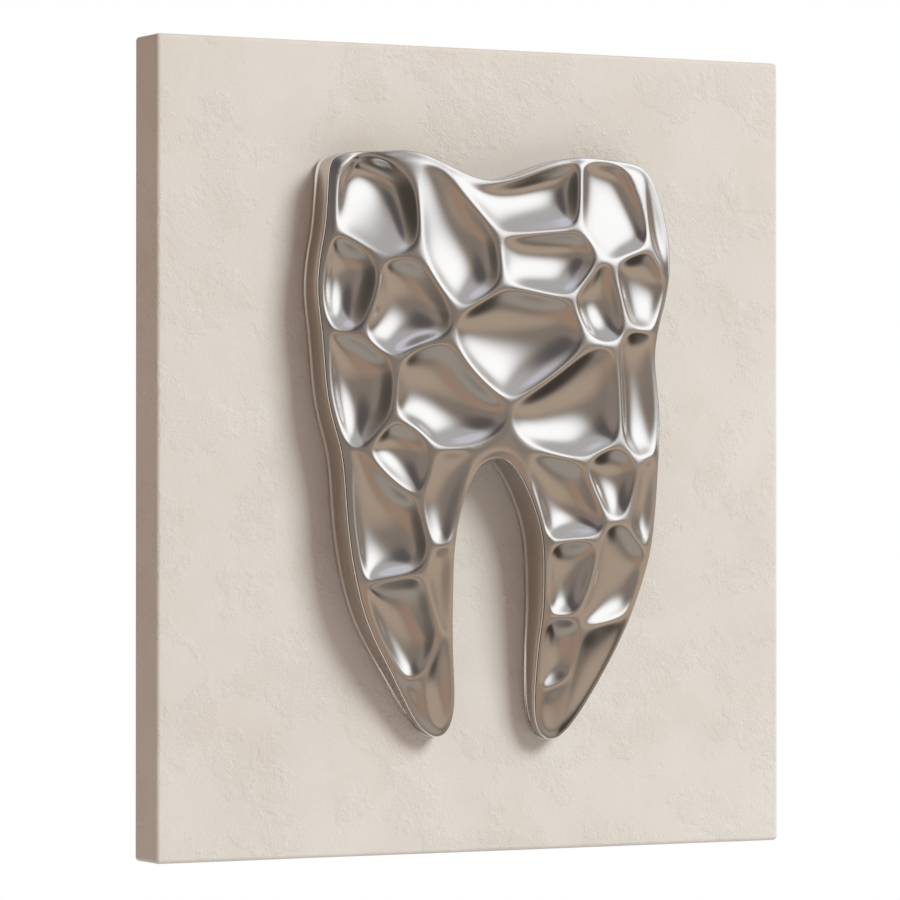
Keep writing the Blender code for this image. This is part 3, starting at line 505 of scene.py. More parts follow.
def front_surface(front_ring, lips):
    """Points (x, z, height) and triangles of the whole ribbed front"""
    edges, loops = numbered([front_ring, *lips])
    blocks = [edges, *rib_points(front_ring, lips)]
    owner = [np.full(len(block), -1) for block in blocks]
    for number, lip in enumerate(lips):
        for depth_in in LIP_RINGS:
            blocks.append(clear_row(lip, depth_in))
            owner.append(np.full(len(blocks[-1]), number))
    grid, home = grid_points(front_ring, lips)
    points = np.concatenate([*blocks, grid])
    owner = np.concatenate([*owner, home])

    faces = triangulate(points, loops)
    faces = faces[inside(points[faces].mean(axis=1), front_ring)]
    sheet = Sheet(points, faces)
    blown_up = sheet.solve(sheet.area, owner >= 0, 0)
    rolled = np.maximum(1 - distance_to(points, front_ring) / RIM_ROLL_WIDTH, 0)
    gap = np.where(owner >= 0, 0, lip_distance(points, lips, 5 * RIB_REACH))
    height = rib_top_height(points) - RIM_ROLL * rolled ** 2 - RIB_CROWN * np.exp(-gap / RIB_REACH)
    for number, (lip, (depth, power, lean_x, lean_z, _)) in enumerate(zip(lips, HOLLOWS)):
        own = owner == number
        low, high = lip.min(axis=0), lip.max(axis=0)
        x, z = ((points[own] - (low + high) / 2) / ((high - low) / 2)).T
        lean = np.maximum(1 + lean_x * x + lean_z * z, BOWL_LEAST)
        bowl = (blown_up[own] / blown_up[own].max()) ** power
        slide = 1 - np.exp(-distance_to(points[own], lip) / LIP_ROLL)
        height[own] -= depth * bowl * lean * slide
    return np.column_stack([points, sheet.softened(height, LIP_SOFTNESS * math.sqrt(2))]), faces


def join_rings(bm, rings, closed=False):
    """Faces between rings that follow each other, and between the last and the first if closed"""
    pairs = list(zip(rings, rings[1:]))
    if closed:
        pairs.append((rings[-1], rings[0]))
    for a, b in pairs:
        for i in range(len(a)):
            corners = list(dict.fromkeys((a[i - 1], a[i], b[i], b[i - 1])))
            if len(corners) > 2:
                bm.faces.new(corners)


def circle(count):
    return 2 * math.pi * np.arange(count) / count


def bore_ring(x, z, radius):
    angles = circle(24)
    return np.column_stack([x + radius * np.cos(angles), z + radius * np.sin(angles)])


class Casting:
    """Collects the tooth's surface in drawn places: x, z, and height over the panel"""

    def __init__(self):
        self.bm = bmesh.new()

    def add(self, flat, heights):
        return [self.bm.verts.new((x * MM, -(TOOTH_BACK + h) * MM, z * MM))
                for (x, z), h in zip(flat, np.broadcast_to(heights, len(flat)))]

    def patch(self, verts, faces):
        for face in faces:
            self.bm.faces.new([verts[i] for i in face])

    def wall(self, loop, start, end):
        join_rings(self.bm, [self.add(loop, start), self.add(loop, end)])

    def floor(self, outer, holes, height):
        """Flat region inside one loop and outside the others"""
        points, loops = numbered([outer, *holes])
        faces = triangulate(points, loops)
        middle = points[faces].mean(axis=1)
        keep = inside(middle, outer)
        for hole in holes:
            keep &= ~inside(middle, hole)
        self.patch(self.add(points, height), faces[keep])


def tooth_mesh():
    cast = Casting()
    outline = np.array([PLACE[name] for name in RING], float)
    counts = span_counts(outline)
    front_ring = spline(inset_ring(EDGE_ROUND), counts)
    wall = spline(outline, counts)
    foot = spline(inset_ring(FOOT_BEVEL), counts)
    points, faces = front_surface(front_ring, hollow_lips())
    front = cast.add(points[:, :2], points[:, 2])
    cast.patch(front, faces)

    edge_height = points[:len(front_ring), 2]
    rows = [(front_ring + (wall - front_ring) * np.sin(turn), edge_height - EDGE_DROP * (1 - np.cos(turn)))
            for turn in np.radians(EDGE_ANGLES)]
    rows += [(wall + (front_ring - wall) * depth_in / EDGE_ROUND,
              FOOT_RISE + (edge_height - EDGE_DROP - FOOT_RISE) * share) for share, depth_in in WALL_PROFILE]
    join_rings(cast.bm, [front[:len(front_ring)], *(cast.add(*row) for row in (*rows, (foot, 0)))])

    rebate = inset_ring(REBATE_INSET, ROOT_TIPS)
    pocket = inset_ring(POCKET_INSET, ROOT_TIPS)
    ledge = dict(zip(RING, inset_ring(SCREW_INSET)))
    screws = [bore_ring(*ledge[name], SCREW_BORE) for name in SCREW_SPOTS]
    studs = [bore_ring(x, z, STUD_BORE) for x, z in STUD_SPOTS]
    cast.floor(foot, [rebate], 0)
    cast.wall(rebate, 0, REBATE_DEPTH)
    cast.floor(rebate, [pocket, *screws], REBATE_DEPTH)
    cast.wall(pocket, REBATE_DEPTH, POCKET_DEPTH)
    cast.floor(pocket, studs, POCKET_DEPTH)
    for loops, start, end in ((screws, REBATE_DEPTH, SCREW_BORE_END),
                              (studs, POCKET_DEPTH, STUD_BORE_END)):
        for loop in loops:
            cast.wall(loop, start, end)
            cast.floor(loop, [], end)
    bmesh.ops.remove_doubles(cast.bm, verts=cast.bm.verts, dist=WELD)
    return cast.bm


# Pieces

def add_object(name, data):
    obj = bpy.data.objects.new(name, data)
    bpy.context.scene.collection.objects.link(obj)
    return obj


def add_piece(name, bm, sharp_angle, *materials):
    """Makes a piece of a bmesh, smooth but for the edges sharper than the angle"""
    bmesh.ops.recalc_face_normals(bm, faces=bm.faces)
    mesh = bpy.data.meshes.new(name)
    bm.to_mesh(mesh)
    bm.free()
    mesh.shade_smooth()
    mesh.set_sharp_from_angle(angle=math.radians(sharp_angle))
    for material in materials:
        mesh.materials.append(material)
    return add_object(name, mesh)


def place_piece(obj, body, node):
    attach(obj, body)
    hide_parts(node)


def as_drawn(radius, y, angle):
    return radius, y


def turned(bm, profile, centre, count, shape=as_drawn, closed=False):
    """Surface turned about a line along Y; profile is (radius, y), which shape may change by angle"""
    x, z = centre
    rings = []
    for radius, height in profile:
        if radius == 0:
            rings.append([bm.verts.new((x, height, z))] * count)
            continue
        ring = []
        for angle in circle(count):
            r, y = shape(radius, height, angle)
            ring.append(bm.verts.new((x + r * math.cos(angle), y, z + r * math.sin(angle))))
        rings.append(ring)
    join_rings(bm, rings, closed)
    return rings


def axis_lines(low, high, start, end, cells):
    """Places of a box's grid lines along one axis: close together where its ends are rounded"""
    arc = [math.tan(math.pi / 4 * k / ARC_STEPS) for k in range(ARC_STEPS, 0, -1)]
    near = [low + start * (1 - t) for t in arc]
    far = [high - end * (1 - t) for t in reversed(arc)] if end else []
    return [*near, *np.linspace(low + start, high - end, cells + 1), *far]


def open_box(bm, low, high, rounding):
    """Grid box with rounded edges and no back face; gives the loop round its open back"""
    ends = (rounding, 0, rounding)
    lines = [axis_lines(low[a], high[a], rounding, ends[a], PLASTER_CELLS[a]) for a in range(3)]
    last = [len(line) - 1 for line in lines]
    core_low = Vector(low) + Vector((rounding,) * 3)
    core_high = Vector(high) - Vector(ends)
    made = {}

    def vertex(*index):
        if index not in made:
            point = Vector(lines[axis][i] for axis, i in enumerate(index))
            core = Vector(min(max(place, a), b) for place, a, b in zip(point, core_low, core_high))
            made[index] = bm.verts.new(core + (point - core).normalized() * rounding)
        return made[index]

    for axis in range(3):
        u, v = (axis + 1) % 3, (axis + 2) % 3
        for side in (0,) if axis == 1 else (0, last[axis]):
            for i in range(last[u]):
                for j in range(last[v]):
                    bm.faces.new([vertex(*np.roll((side, i + di, j + dj), axis))
                                  for di, dj in ((0, 0), (1, 0), (1, 1), (0, 1))])
    nx, ny, nz = last
    back = ([(i, ny, 0) for i in range(nx)] + [(nx, ny, k) for k in range(nz)]
            + [(i, ny, nz) for i in range(nx, 0, -1)] + [(0, ny, k) for k in range(nz, 0, -1)])
    return [made[index] for index in back]


def cut_bores(obj, spots, radius, y_low, y_high):
    """Takes round bores along Y out of a piece for good"""
    bm = bmesh.new()
    for x, z in spots:
        turned(bm, [(0, y_low), (radius, y_low), (radius, y_high), (0, y_high)], (x * MM, z * MM), 32)
    cutter = add_piece("cutter", bm, PLASTER_SHARP)
    boolean = obj.modifiers.new("cut", 'BOOLEAN')
    boolean.operation = 'DIFFERENCE'
    boolean.solver = 'EXACT'
    boolean.object = cutter
    bpy.context.view_layer.update()
    graph = bpy.context.evaluated_depsgraph_get()
    mesh = bpy.data.meshes.new_from_object(obj.evaluated_get(graph))
    obj.modifiers.remove(boolean)
    mesh.name = obj.name
    obj.data = mesh
    bpy.data.objects.remove(cutter)


def build_plaster(material):
    """The coat over the front and sides, a little uneven as a trowel leaves it"""
    x, z = PANEL_WIDTH / 2, PANEL_HEIGHT / 2
    near_face = PLASTER_ROUND / 4
    bm = bmesh.new()
    outer = open_box(bm, (-x, -PANEL_DEPTH, -z), (x, PLASTER_BACK, z), PLASTER_ROUND)
    for v in bm.verts:
        wave = 0.5 + 0.5 * noise.fractal(v.co * TROWEL_WAVES, 1.0, 2.0, 3)
        dent = TROWEL_DEPTH * min(max(wave, 0), 1)
        if v.co.y < -PANEL_DEPTH + near_face:
            v.co.y += dent
        elif v.co.y < PLASTER_BACK - MM:
            v.co.x -= math.copysign(dent, v.co.x) * (abs(v.co.x) > x - near_face)
            v.co.z -= math.copysign(dent, v.co.z) * (abs(v.co.z) > z - near_face)
    inner = open_box(bm, (-x + PLASTER, -PANEL_DEPTH + PLASTER, -z + PLASTER),
                     (x - PLASTER, PLASTER_BACK, z - PLASTER), PLASTER_ROUND - PLASTER)
    join_rings(bm, [outer, inner])
    coat = add_piece("plaster_skin", bm, PLASTER_SHARP, material)
    cut_bores(coat, STUD_SPOTS, STUD_BORE * MM, -PANEL_DEPTH - MM, -PANEL_DEPTH + 2 * PLASTER)
    coat.data.shade_smooth()
    coat.data.set_sharp_from_angle(angle=math.radians(PLASTER_SHARP))
    place_piece(coat, "panel", "plaster_coat")


def thread_point(radius, y, angle, core, pitch):
    """Point of a screw thread with a flat crest at that height and angle"""
    phase = (y / pitch - angle / (2 * math.pi)) % 1
    rise = min(1, max(0, (0.5 - abs(phase - 0.5)) / (0.5 - THREAD_CREST)))
    return core + (radius - core) * rise, y


def build_fixings(steel, zinc):
    """Stud, washer and nut at each of the tooth's four fixings"""
    (stud_y0, stud_y1), (washer_y0, washer_y1), (nut_y0, nut_y1) = (
        [corner.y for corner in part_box(f"{part}_1")] for part in ("mount_stud", "stud_washer", "stud_nut"))
    radius, face = STUD_RADIUS, NUT_CHAMFER * NUT_HALF
    thread_starts = stud_y1 - STUD_THREAD
    stud = [(0, stud_y0), (radius - THREAD_DEPTH, stud_y0), (radius, stud_y0 + THREAD_DEPTH),
            (radius, thread_starts - MM)]
    stud += [(radius, y) for y in np.arange(thread_starts, stud_y1 - STUD_TIP, THREAD_PITCH / 8)]
    stud += [(radius - 1.5 * THREAD_DEPTH, stud_y1 - THREAD_DEPTH / 3),
             (radius - 2 * THREAD_DEPTH, stud_y1), (0, stud_y1)]

    def bored(rim, y0, y1, edge):
        """Section of a bored piece, alike in front and behind: its bore's broken edge, then its rim"""
        hole = radius + STUD_PLAY
        half = [(hole, y0 + edge), (hole + edge, y0), *((r, y0 + rise) for r, rise in rim)]
        return half + [(r, y0 + y1 - y) for r, y in reversed(half)]

    washer_rim = [(WASHER_RADIUS - WASHER_EDGE, 0), (WASHER_RADIUS, WASHER_EDGE)]
    washer = bored(washer_rim, washer_y0, washer_y1, WASHER_EDGE)
    nut = bored([(face, 0), (NUT_FLATS, 0)], nut_y0, nut_y1, NUT_EDGE)

    def stud_shape(r, y, angle):
        if y < thread_starts or r < radius:
            return r, y
        return thread_point(radius, y, angle, radius - THREAD_DEPTH, THREAD_PITCH)

    def nut_shape(r, y, angle):
        if r != NUT_FLATS:
            return r, y
        turn = (angle + math.pi / 6) % (math.pi / 3) - math.pi / 6
        flat = NUT_HALF / math.cos(turn)
        slope = (flat - face) * math.tan(math.radians(30))
        return flat, y + (slope if y < (nut_y0 + nut_y1) / 2 else -slope)

    parts = (("threaded_stud", "mount_stud", steel, "bright_steel", 50, stud, 32, stud_shape),
             ("plain_washer", "stud_washer", zinc, "zinc_plate", 40, washer, 48, as_drawn),
             ("hex_nut", "stud_nut", zinc, "zinc_plate", 28, nut, 72, nut_shape))
    for number, (x, z) in enumerate(STUD_SPOTS, 1):
        for name, node, material, slot, sharp, profile, count, shape in parts:
            bm = bmesh.new()
            turned(bm, profile, (x * MM, z * MM), count, shape, closed=profile[0][0] > 0)
            piece = add_piece(f"{name}_{number}", bm, sharp, material)
            place_piece(piece, "panel", f"{node}_{number}")


def build_hanger_ring(side, steel):
    """Ring of round wire about its hinge line: a straight bar, two legs and a round bottom"""
    node = f"{side}_hanger_ring"
    low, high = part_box(node)
    centre, depth = Vector(((low.x + high.x) / 2, RING_AXIS_Y, RING_AXIS_Z)), Vector((0, 1, 0))
    bar_end = RING_HALF_WIDTH - RING_CORNER
    bar = np.column_stack([np.linspace(-bar_end, bar_end, 12, endpoint=False), np.zeros(12)])
    bend = np.radians(np.linspace(0, 90, 9))
    corner = np.column_stack([bar_end + RING_CORNER * np.sin(bend), RING_CORNER * (np.cos(bend) - 1)])
    sweep = np.radians(np.linspace(0, 180, 41))
    bottom = np.column_stack([RING_HALF_WIDTH * np.cos(sweep),
                              -RING_LEG - (RING_DROP - RING_LEG) * np.sin(sweep)])
    path = [Vector((x, 0, z)) for x, z in (*bar, *corner, *bottom, *(corner[:0:-1] * (-1, 1)))]
    bm = bmesh.new()
    rings = []
    for i, point in enumerate(path):
        across = (path[(i + 1) % len(path)] - path[i - 1]).normalized().cross(depth)
        rings.append([bm.verts.new(centre + point + RING_WIRE * (math.cos(a) * across + math.sin(a) * depth))
                      for a in circle(16)])
    join_rings(bm, rings, closed=True)
    place_piece(add_piece(f"{side}_wire_ring", bm, 60, steel), f"{side}_ring", node)


def build_hanger_screw(node, zinc):
    """Pan-head screw with a cross recess in its head and a thread on its shank"""
    low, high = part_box(node)
    seat = high.y - SCREW_HEAD_HEIGHT
    head, shank = SCREW_HEAD, SCREW_SHANK

    def screw_shape(r, y, angle):
        if r == shank and y < seat:
            return thread_point(shank, y, angle, SCREW_CORE * shank, SCREW_PITCH)
        if y > seat + MM / 10:
            u, v = sorted((abs(r * math.cos(angle)), abs(r * math.sin(angle))))
            arm = max(0, 1 - max(u - RECESS_HALF_WIDTH, 0) / RECESS_SLOPE)
            arm *= max(0, 1 - max(v - RECESS_REACH, 0) / RECESS_END_SLOPE)
            return r, y - RECESS_DEPTH * arm * (1 - RECESS_RISE * v / RECESS_REACH)
        return r, y

    profile = [(0, low.y), (SCREW_TIP * shank, low.y)]
    profile += [(shank, y) for y in np.arange(low.y + shank, seat - SCREW_NECK, SCREW_PITCH / 8)]
    profile += [(1.02 * shank, seat), (head, seat), (head, high.y - SCREW_CROWN * SCREW_HEAD_HEIGHT)]
    for share in np.arange(15, -1, -1) / 16:
        rise = 1 - SCREW_CROWN * share ** 4
        profile.append((0.995 * head * share, seat + SCREW_HEAD_HEIGHT * rise))
    bm = bmesh.new()
    rings = turned(bm, profile, ((low.x + high.x) / 2, (low.z + high.z) / 2), 64, screw_shape)
    rings[-1][0].co.y -= RECESS_DEPTH
    place_piece(add_piece(node.replace("hanger_screw", "cross_head_screw"), bm, 45, zinc),
                "panel", node)


def dress_cad_node(name, material, bevel=0):
    """A CAD node that stays: its own material, and eased edges where the real one has them"""
    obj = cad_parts[name]
    for slot in obj.material_slots:
        slot.material = material
    if bevel:
        eased = obj.modifiers.new("eased", 'BEVEL')
        eased.width = bevel
        eased.segments = 2
        eased.limit_method = 'ANGLE'
        eased.angle_limit = math.radians(50)


# Materials

def new_node(tree, kind, inputs=(), **settings):
    """Shader node with its settings and inputs; an input is a value, or the output that feeds it"""
    node = tree.nodes.new("ShaderNode" + kind)
    for name, value in settings.items():
        setattr(node, name, value)
    for key, value in dict(inputs).items():
        if isinstance(value, bpy.types.NodeSocket):
            tree.links.new(value, node.inputs[key])
        else:
            node.inputs[key].default_value = value
    return node


class Nodes:
    """Short calls for building one node material"""

    def __init__(self, name, metallic=0.0):
        self.material = bpy.data.materials.new(name)
        self.material.use_nodes = True
        self.tree = self.material.node_tree
        self.shader = self.tree.nodes["Principled BSDF"]
        self.shader.inputs["Metallic"].default_value = metallic
        self.place = self.add("TexCoord").outputs["Object"]

    def add(self, kind, inputs=(), **settings):
        return new_node(self.tree, kind, inputs, **settings)

    def scaled(self, scale, shift=(0, 0, 0)):
        return self.add("Mapping", {"Scale": scale, "Location": shift, "Vector": self.place}).outputs[0]

    def noise(self, scale, detail=2.0, roughness=0.5, where=None, distortion=0.0):
        return self.add("TexNoise", {"Scale": scale, "Detail": detail, "Roughness": roughness,
                                     "Distortion": distortion, "Vector": where or self.place}).outputs["Fac"]

    def cells(self, scale, where=None, output="Distance"):
        return self.add("TexVoronoi", {"Scale": scale, "Vector": where or self.place}).outputs[output]

    def span(self, value, low, high, to_low=0.0, to_high=1.0):
        inputs = {"Value": value, "From Min": low, "From Max": high, "To Min": to_low, "To Max": to_high}
        return self.add("MapRange", inputs, interpolation_type='SMOOTHSTEP').outputs["Result"]

    def math(self, operation, a, b=0.0):
        return self.add("Math", {0: a, 1: b}, operation=operation).outputs[0]

    def ramp(self, value, *stops):
        node = self.add("ValToRGB", {"Fac": value})
        elements = node.color_ramp.elements
        for element, (place, colour) in zip(elements, (stops[0], stops[-1])):
            element.position = place
            element.color = (*colour, 1)
        for place, colour in stops[1:-1]:
            elements.new(place).color = (*colour, 1)
        return node.outputs["Color"]

    def mix(self, factor, a, colour):
        return self.add("Mix", {0: factor, 6: a, 7: (*colour, 1)}, data_type='RGBA').outputs[2]

    def bump(self, height, distance, strength, **over):
        inputs = {"Height": height, "Distance": distance, "Strength": strength, **over}
        return self.add("Bump", inputs).outputs["Normal"]

    def finish(self, colour, roughness, normal=None):
        for name, source in (("Base Color", colour), ("Roughness", roughness), ("Normal", normal)):
            if source:
                self.tree.links.new(source, self.shader.inputs[name])
        return self.material


def plaster_material():
    """Fine sanded plaster: smooth where the trowel pressed, grainy between, a few darker grains"""
    n = Nodes("fine_plaster")
    patches = n.span(n.noise(15, 6, 0.66), 0.47, 0.60)
    grain = n.noise(520, 3, 0.62)
    pits = n.noise(250, 4, 0.66)
    colour = n.ramp(n.noise(9, 3, 0.55), (0.25, (0.702, 0.644, 0.582)), (0.5, (0.739, 0.685, 0.625)),
                    (0.75, (0.767, 0.717, 0.660)))
    colour = n.mix(n.span(n.noise(12, 5, 0.62), 0.48, 0.68, 0.0, 0.5), colour, (0.715, 0.636, 0.568))
    colour = n.mix(n.span(grain, 0.52, 0.78, 0.0, 0.32), colour, (0.56, 0.48, 0.41))
    rare = n.span(n.noise(60, 1), 0.56, 0.66)
    specks = n.math('MULTIPLY', n.span(n.cells(230), 0.05, 0.14, 1.0, 0.0), rare)
    colour = n.mix(n.math('MULTIPLY', specks, 0.45), colour, (0.46, 0.33, 0.26))
    rough = n.math('MULTIPLY', n.math('ADD', grain, pits), n.span(patches, 0, 1, 0.35, 1.0))
    normal = n.bump(n.noise(34, 3), 0.0012, 0.14, Normal=n.bump(rough, 0.0010, 0.62))
    n.shader.inputs["Specular IOR Level"].default_value = 0.25
    return n.finish(colour, n.span(grain, 0.3, 0.7, 0.82, 0.95), normal)


def metal_material():
    """Satin-polished cast metal: faint buffing marks, slight waves, and a duller side wall that is also
    painted darker and browner as painted shade
    """
    n = Nodes("satin_polished_metal", 1.0)
    clouds = n.noise(22, 3, 0.55)
    buff = n.noise(900, 3, 0.6, n.scaled((1, 1, 0.08)))
    colour = n.ramp(clouds, (0.3, (0.945, 0.938, 0.930)), (0.7, (0.985, 0.982, 0.978)))
    roughness = n.math('ADD', n.span(clouds, 0.3, 0.7, METAL_ROUGHNESS - 0.015, METAL_ROUGHNESS + 0.02),
                       n.span(buff, 0.4, 0.8, 0.0, 0.02))
    facing = n.add("SeparateXYZ", {0: n.add("NewGeometry").outputs["Normal"]})
    # Faces that turn sideways get painted shade: a darker, browner colour that stands for the shadowed
    # plaster the side wall reflects. The same mask also raises their roughness for a duller finish.
    side = n.span(facing.outputs["Y"], -0.35, -0.05)
    colour = n.mix(side, colour, (0.62, 0.56, 0.51))
    roughness = n.math('ADD', roughness, n.math('MULTIPLY', side, SIDE_ROUGHNESS))
    waves = n.bump(n.noise(55, 2), 0.0003, 0.06)
    return n.finish(colour, roughness, n.bump(buff, 0.00005, 0.10, Normal=waves))


def timber_material(name, grain_axis, ring_centre):
    """Planed pine: growth rings about a line along the grain, fine fibres and the odd knot"""
    n = Nodes(name)
    stretch, knot_stretch, shift = [1, 1, 1], [1, 1, 1], [0, 0, 0]
    stretch[grain_axis] = 0.09
    knot_stretch[grain_axis] = 0.45
    across = [a for a in range(3) if a != grain_axis]
    for axis, place in zip(across, ring_centre):
        shift[axis] = -place
    where = n.scaled(stretch, shift)
    rings = n.math('FRACT', n.math('MULTIPLY', n.noise(9, 2.5, 0.45, where), 16))
    fibres = n.noise(1500, 4, 0.65, where)
    colour = n.ramp(rings, (0.0, (0.640, 0.455, 0.265)), (0.55, (0.600, 0.412, 0.228)),
                    (0.93, (0.500, 0.315, 0.155)), (1.0, (0.615, 0.430, 0.245)))
    colour = n.mix(n.span(fibres, 0.40, 0.72, 0.0, 0.30), colour, (0.44, 0.28, 0.14))
    knots = n.span(n.cells(9, n.scaled(knot_stretch)), 0.05, 0.12, 1.0, 0.0)
    colour = n.mix(n.math('MULTIPLY', knots, 0.75), colour, (0.24, 0.12, 0.055))
    colour = n.mix(n.span(n.noise(6, 3), 0.35, 0.7, 0.0, 0.18), colour, (0.52, 0.37, 0.22))
    return n.finish(colour, n.span(fibres, 0.3, 0.7, 0.55, 0.72), n.bump(fibres, 0.00015, 0.5))


def fibreboard_material():
    """Pressed wood fibre: mottled brown with short pale and dark fibres"""
    n = Nodes("pressed_fibreboard")
    fine = n.noise(850, 4, 0.7)
    fibres = n.noise(420, 4, 0.7, n.scaled((1, 1, 0.35)), 1.2)
    colour = n.ramp(n.noise(14, 3), (0.3, (0.305, 0.205, 0.120)), (0.7, (0.385, 0.270, 0.165)))
    colour = n.mix(n.span(fine, 0.45, 0.75, 0.0, 0.55), colour, (0.52, 0.40, 0.27))
    colour = n.mix(n.span(fibres, 0.52, 0.78, 0.0, 0.60), colour, (0.175, 0.105, 0.055))
    return n.finish(colour, n.span(fine, 0.3, 0.7, 0.70, 0.88), n.bump(fine, 0.00012, 0.6))


def zinc_material():
    """Zinc-plated steel: a faint crystal pattern, and dull patches from handling"""
    n = Nodes("zinc_plated_steel", 1.0)
    crystals = n.math('MULTIPLY', n.cells(420, output="Color"), 0.5)
    tone = n.math('ADD', crystals, n.math('MULTIPLY', n.noise(120, 3), 0.5))
    colour = n.ramp(tone, (0.25, (0.520, 0.535, 0.550)), (0.75, (0.680, 0.690, 0.705)))
    dull = n.span(n.noise(260, 3), 0.3, 0.7, 0.30, 0.46)
    return n.finish(colour, dull, n.bump(n.noise(900, 2), 0.00004, 0.4))


def steel_material():
    """Bright drawn steel with fine lengthwise drawing marks and a few dull spots"""
    n = Nodes("bright_drawn_steel", 1.0)
    marks = n.noise(2600, 2, 0.5, n.scaled((0.2, 1, 1)))
    colour = n.ramp(n.noise(190, 3), (0.3, (0.500, 0.497, 0.492)), (0.7, (0.640, 0.636, 0.630)))
    return n.finish(colour, n.span(marks, 0.3, 0.7, 0.20, 0.34), n.bump(marks, 0.00003, 0.35))


# Studio

def facing_panel(azimuth, elevation, distance):
    """Place seen from the panel; 0 degrees is straight in front, 90 to its right"""
    az, el = np.radians(azimuth), np.radians(elevation)
    return distance * np.stack([np.sin(az) * np.cos(el), -np.cos(az) * np.cos(el), np.sin(el)], axis=-1)


def card_cover(azimuth, elevation, card):
    """How much of each direction a soft oval card takes up, from 0 to 1"""
    az, el, half_az, half_el, tilt = card
    across = (azimuth - az + 180) % 360 - 180
    upward = elevation - el
    c, s = math.cos(math.radians(tilt)), math.sin(math.radians(tilt))
    square = ((c * across + s * upward) / half_az) ** 2 + ((c * upward - s * across) / half_el) ** 2
    return np.exp(-square ** CARD_EDGE)


def build_tent():
    """Dome of soft grey and brown cards round the set with a window in it, seen only in the metal"""
    azimuth, elevation = np.meshgrid(np.linspace(-180, 180, TENT_STEPS + 1),
                                     np.linspace(-90, 90, TENT_STEPS // 2 + 1))
    tone = np.zeros(azimuth.shape + (3,)) + ROOM_TONE
    for *card, colour in CARDS.values():
        cover = card_cover(azimuth, elevation, card)[..., None]
        tone = tone * (1 - cover) + cover * np.array(colour)
    closed = 1 - card_cover(azimuth, elevation, WINDOW) ** SCREEN_GAMMA
    tone = np.concatenate([tone ** SCREEN_GAMMA, closed[..., None]], axis=-1)
    points = facing_panel(azimuth, elevation, TENT_RADIUS)
    rows, columns = azimuth.shape
    faces = [(r * columns + c, r * columns + c + 1, (r + 1) * columns + c + 1, (r + 1) * columns + c)
             for r in range(rows - 1) for c in range(columns - 1)]
    mesh = bpy.data.meshes.new("studio_tent")
    mesh.from_pydata(points.reshape(-1, 3).tolist(), [], faces)
    tones = mesh.attributes.new("tone", 'FLOAT_COLOR', 'POINT')
    tones.data.foreach_set("color", tone.ravel().astype(np.float32))

    material = bpy.data.materials.new("tent_cloth")
    material.use_nodes = True
    tree = material.node_tree
    tree.nodes.clear()
    stored = new_node(tree, "Attribute", attribute_name="tone").outputs
    glow = new_node(tree, "Emission", {"Color": stored["Color"]})
    opening = new_node(tree, "BsdfTransparent")
    mix = new_node(tree, "MixShader", {0: stored["Alpha"], 1: opening.outputs[0], 2: glow.outputs[0]})
    new_node(tree, "OutputMaterial", {"Surface": mix.outputs[0]})
    material.cycles.emission_sampling = 'NONE'
    mesh.materials.append(material)
    tent = add_object("studio_tent", mesh)
    tent.visible_camera = tent.visible_diffuse = tent.visible_shadow = False
    tent.visible_transmission = tent.visible_volume_scatter = False


def seen_directly(tree):
    """1 for camera, glossy and transmission rays, 0 for the rest"""
    path = new_node(tree, "LightPath").outputs
    total = path["Is Camera Ray"]
    for name in ("Is Glossy Ray", "Is Transmission Ray"):
        total = new_node(tree, "Math", {0: total, 1: path[name]}, operation='MAXIMUM').outputs[0]
    return total


def build_world():
    """White where it is seen directly or in the metal, and a warm fill for everything else"""
    world = bpy.data.worlds.new("white_studio")
    bpy.context.scene.world = world
    world.use_nodes = True
    tree = world.node_tree
    tree.nodes.clear()
    white = new_node(tree, "Background", {"Color": (1, 1, 1, 1), "Strength": 1.0})
    fill = new_node(tree, "Background", {"Color": (*FILL_COLOUR, 1), "Strength": FILL_LEVEL})
    mix = new_node(tree, "MixShader", {0: seen_directly(tree), 1: fill.outputs[0], 2: white.outputs[0]})
    new_node(tree, "OutputWorld", {"Surface": mix.outputs[0]})


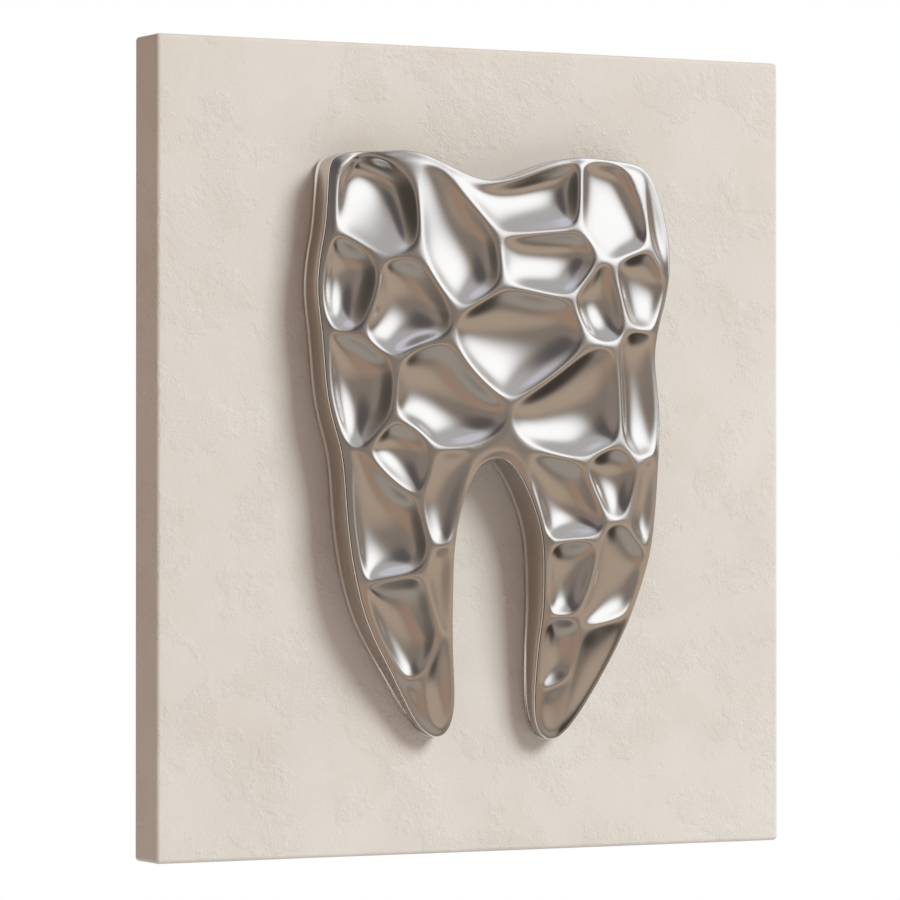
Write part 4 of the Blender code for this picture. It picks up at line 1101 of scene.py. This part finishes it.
def build_floor():
    """Pale round floor well below the panel, lifted towards white where it is seen directly"""
    bm = bmesh.new()
    rings = [[bm.verts.new((r * math.cos(a), r * math.sin(a), FLOOR_Z)) for a in circle(FLOOR_SIDES)]
             for r in np.linspace(FLOOR_MIDDLE, FLOOR_RADIUS, 12)]
    bm.faces.new(rings[0])
    join_rings(bm, rings)
    n = Nodes("pale_floor")
    colour = n.ramp(n.noise(2.5, 3), (0.3, (0.80, 0.84, 0.87)), (0.7, (0.83, 0.87, 0.90)))
    n.finish(colour, n.span(n.noise(40, 3), 0.3, 0.7, 0.75, 0.9))
    glow = n.add("Emission", {"Strength": n.math('MULTIPLY', seen_directly(n.tree), FLOOR_GLOW)})
    both = n.add("AddShader", {0: n.shader.outputs[0], 1: glow.outputs[0]})
    n.tree.links.new(both.outputs[0], n.tree.nodes["Material Output"].inputs["Surface"])
    n.material.cycles.emission_sampling = 'NONE'
    floor = add_piece("studio_floor", bm, 60, n.material)
    floor.visible_glossy = False


def soft_light(name, azimuth, elevation, distance, size, power, colour):
    """Square lamp that looks at the panel and isn't seen in the metal"""
    lamp = bpy.data.lights.new(name, 'AREA')
    lamp.size = size
    lamp.energy = power
    lamp.color = colour
    obj = add_object(name, lamp)
    obj.location = facing_panel(azimuth, elevation, distance)
    obj.rotation_euler = (-obj.location).to_track_quat('-Z', 'Y').to_euler()
    obj.visible_glossy = obj.visible_camera = False


def build_camera():
    data = bpy.data.cameras.new("camera")
    data.sensor_width = 36
    data.lens = FOCAL_LENGTH
    data.clip_end = 100
    camera = add_object("camera", data)
    camera.location = CAMERA_PLACE
    camera.rotation_euler = (math.radians(90 + CAMERA_PITCH), 0, math.radians(-CAMERA_YAW))
    bpy.context.scene.camera = camera


def build_scene():
    bpy.context.scene.view_settings.view_transform = 'Standard'
    build_camera()
    build_world()
    build_tent()
    for light in LIGHTS:
        soft_light(*light)
    build_floor()

    zinc = zinc_material()
    steel = steel_material()
    upright = timber_material("pine_upright", 2, (0.27, 0.03))
    level = timber_material("pine_level", 0, (0.03, 0.16))
    tooth = add_piece("tooth_casting", tooth_mesh(), 35, metal_material())
    place_piece(tooth, "panel", "tooth_shell")
    build_plaster(plaster_material())
    build_fixings(steel, zinc)
    for side in ("left", "right"):
        build_hanger_ring(side, steel)
        dress_cad_node(f"{side}_hanger_strap", zinc, STRAP_BEVEL)
        for number in (1, 2):
            build_hanger_screw(f"{side}_hanger_screw_{number}", zinc)
    dress_cad_node("face_board", fibreboard_material())
    for name in ("left_stile", "right_stile"):
        dress_cad_node(name, upright, TIMBER_BEVEL)
    for name in ("top_rail", "bottom_rail", "centre_rail", "hanging_rail"):
        dress_cad_node(name, level, TIMBER_BEVEL)
    dress_cad_node("tooth_back_plate", zinc)
    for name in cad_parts:
        if name.startswith(("frame_screw_", "plate_screw_")):
            dress_cad_node(name, steel)


build_scene()
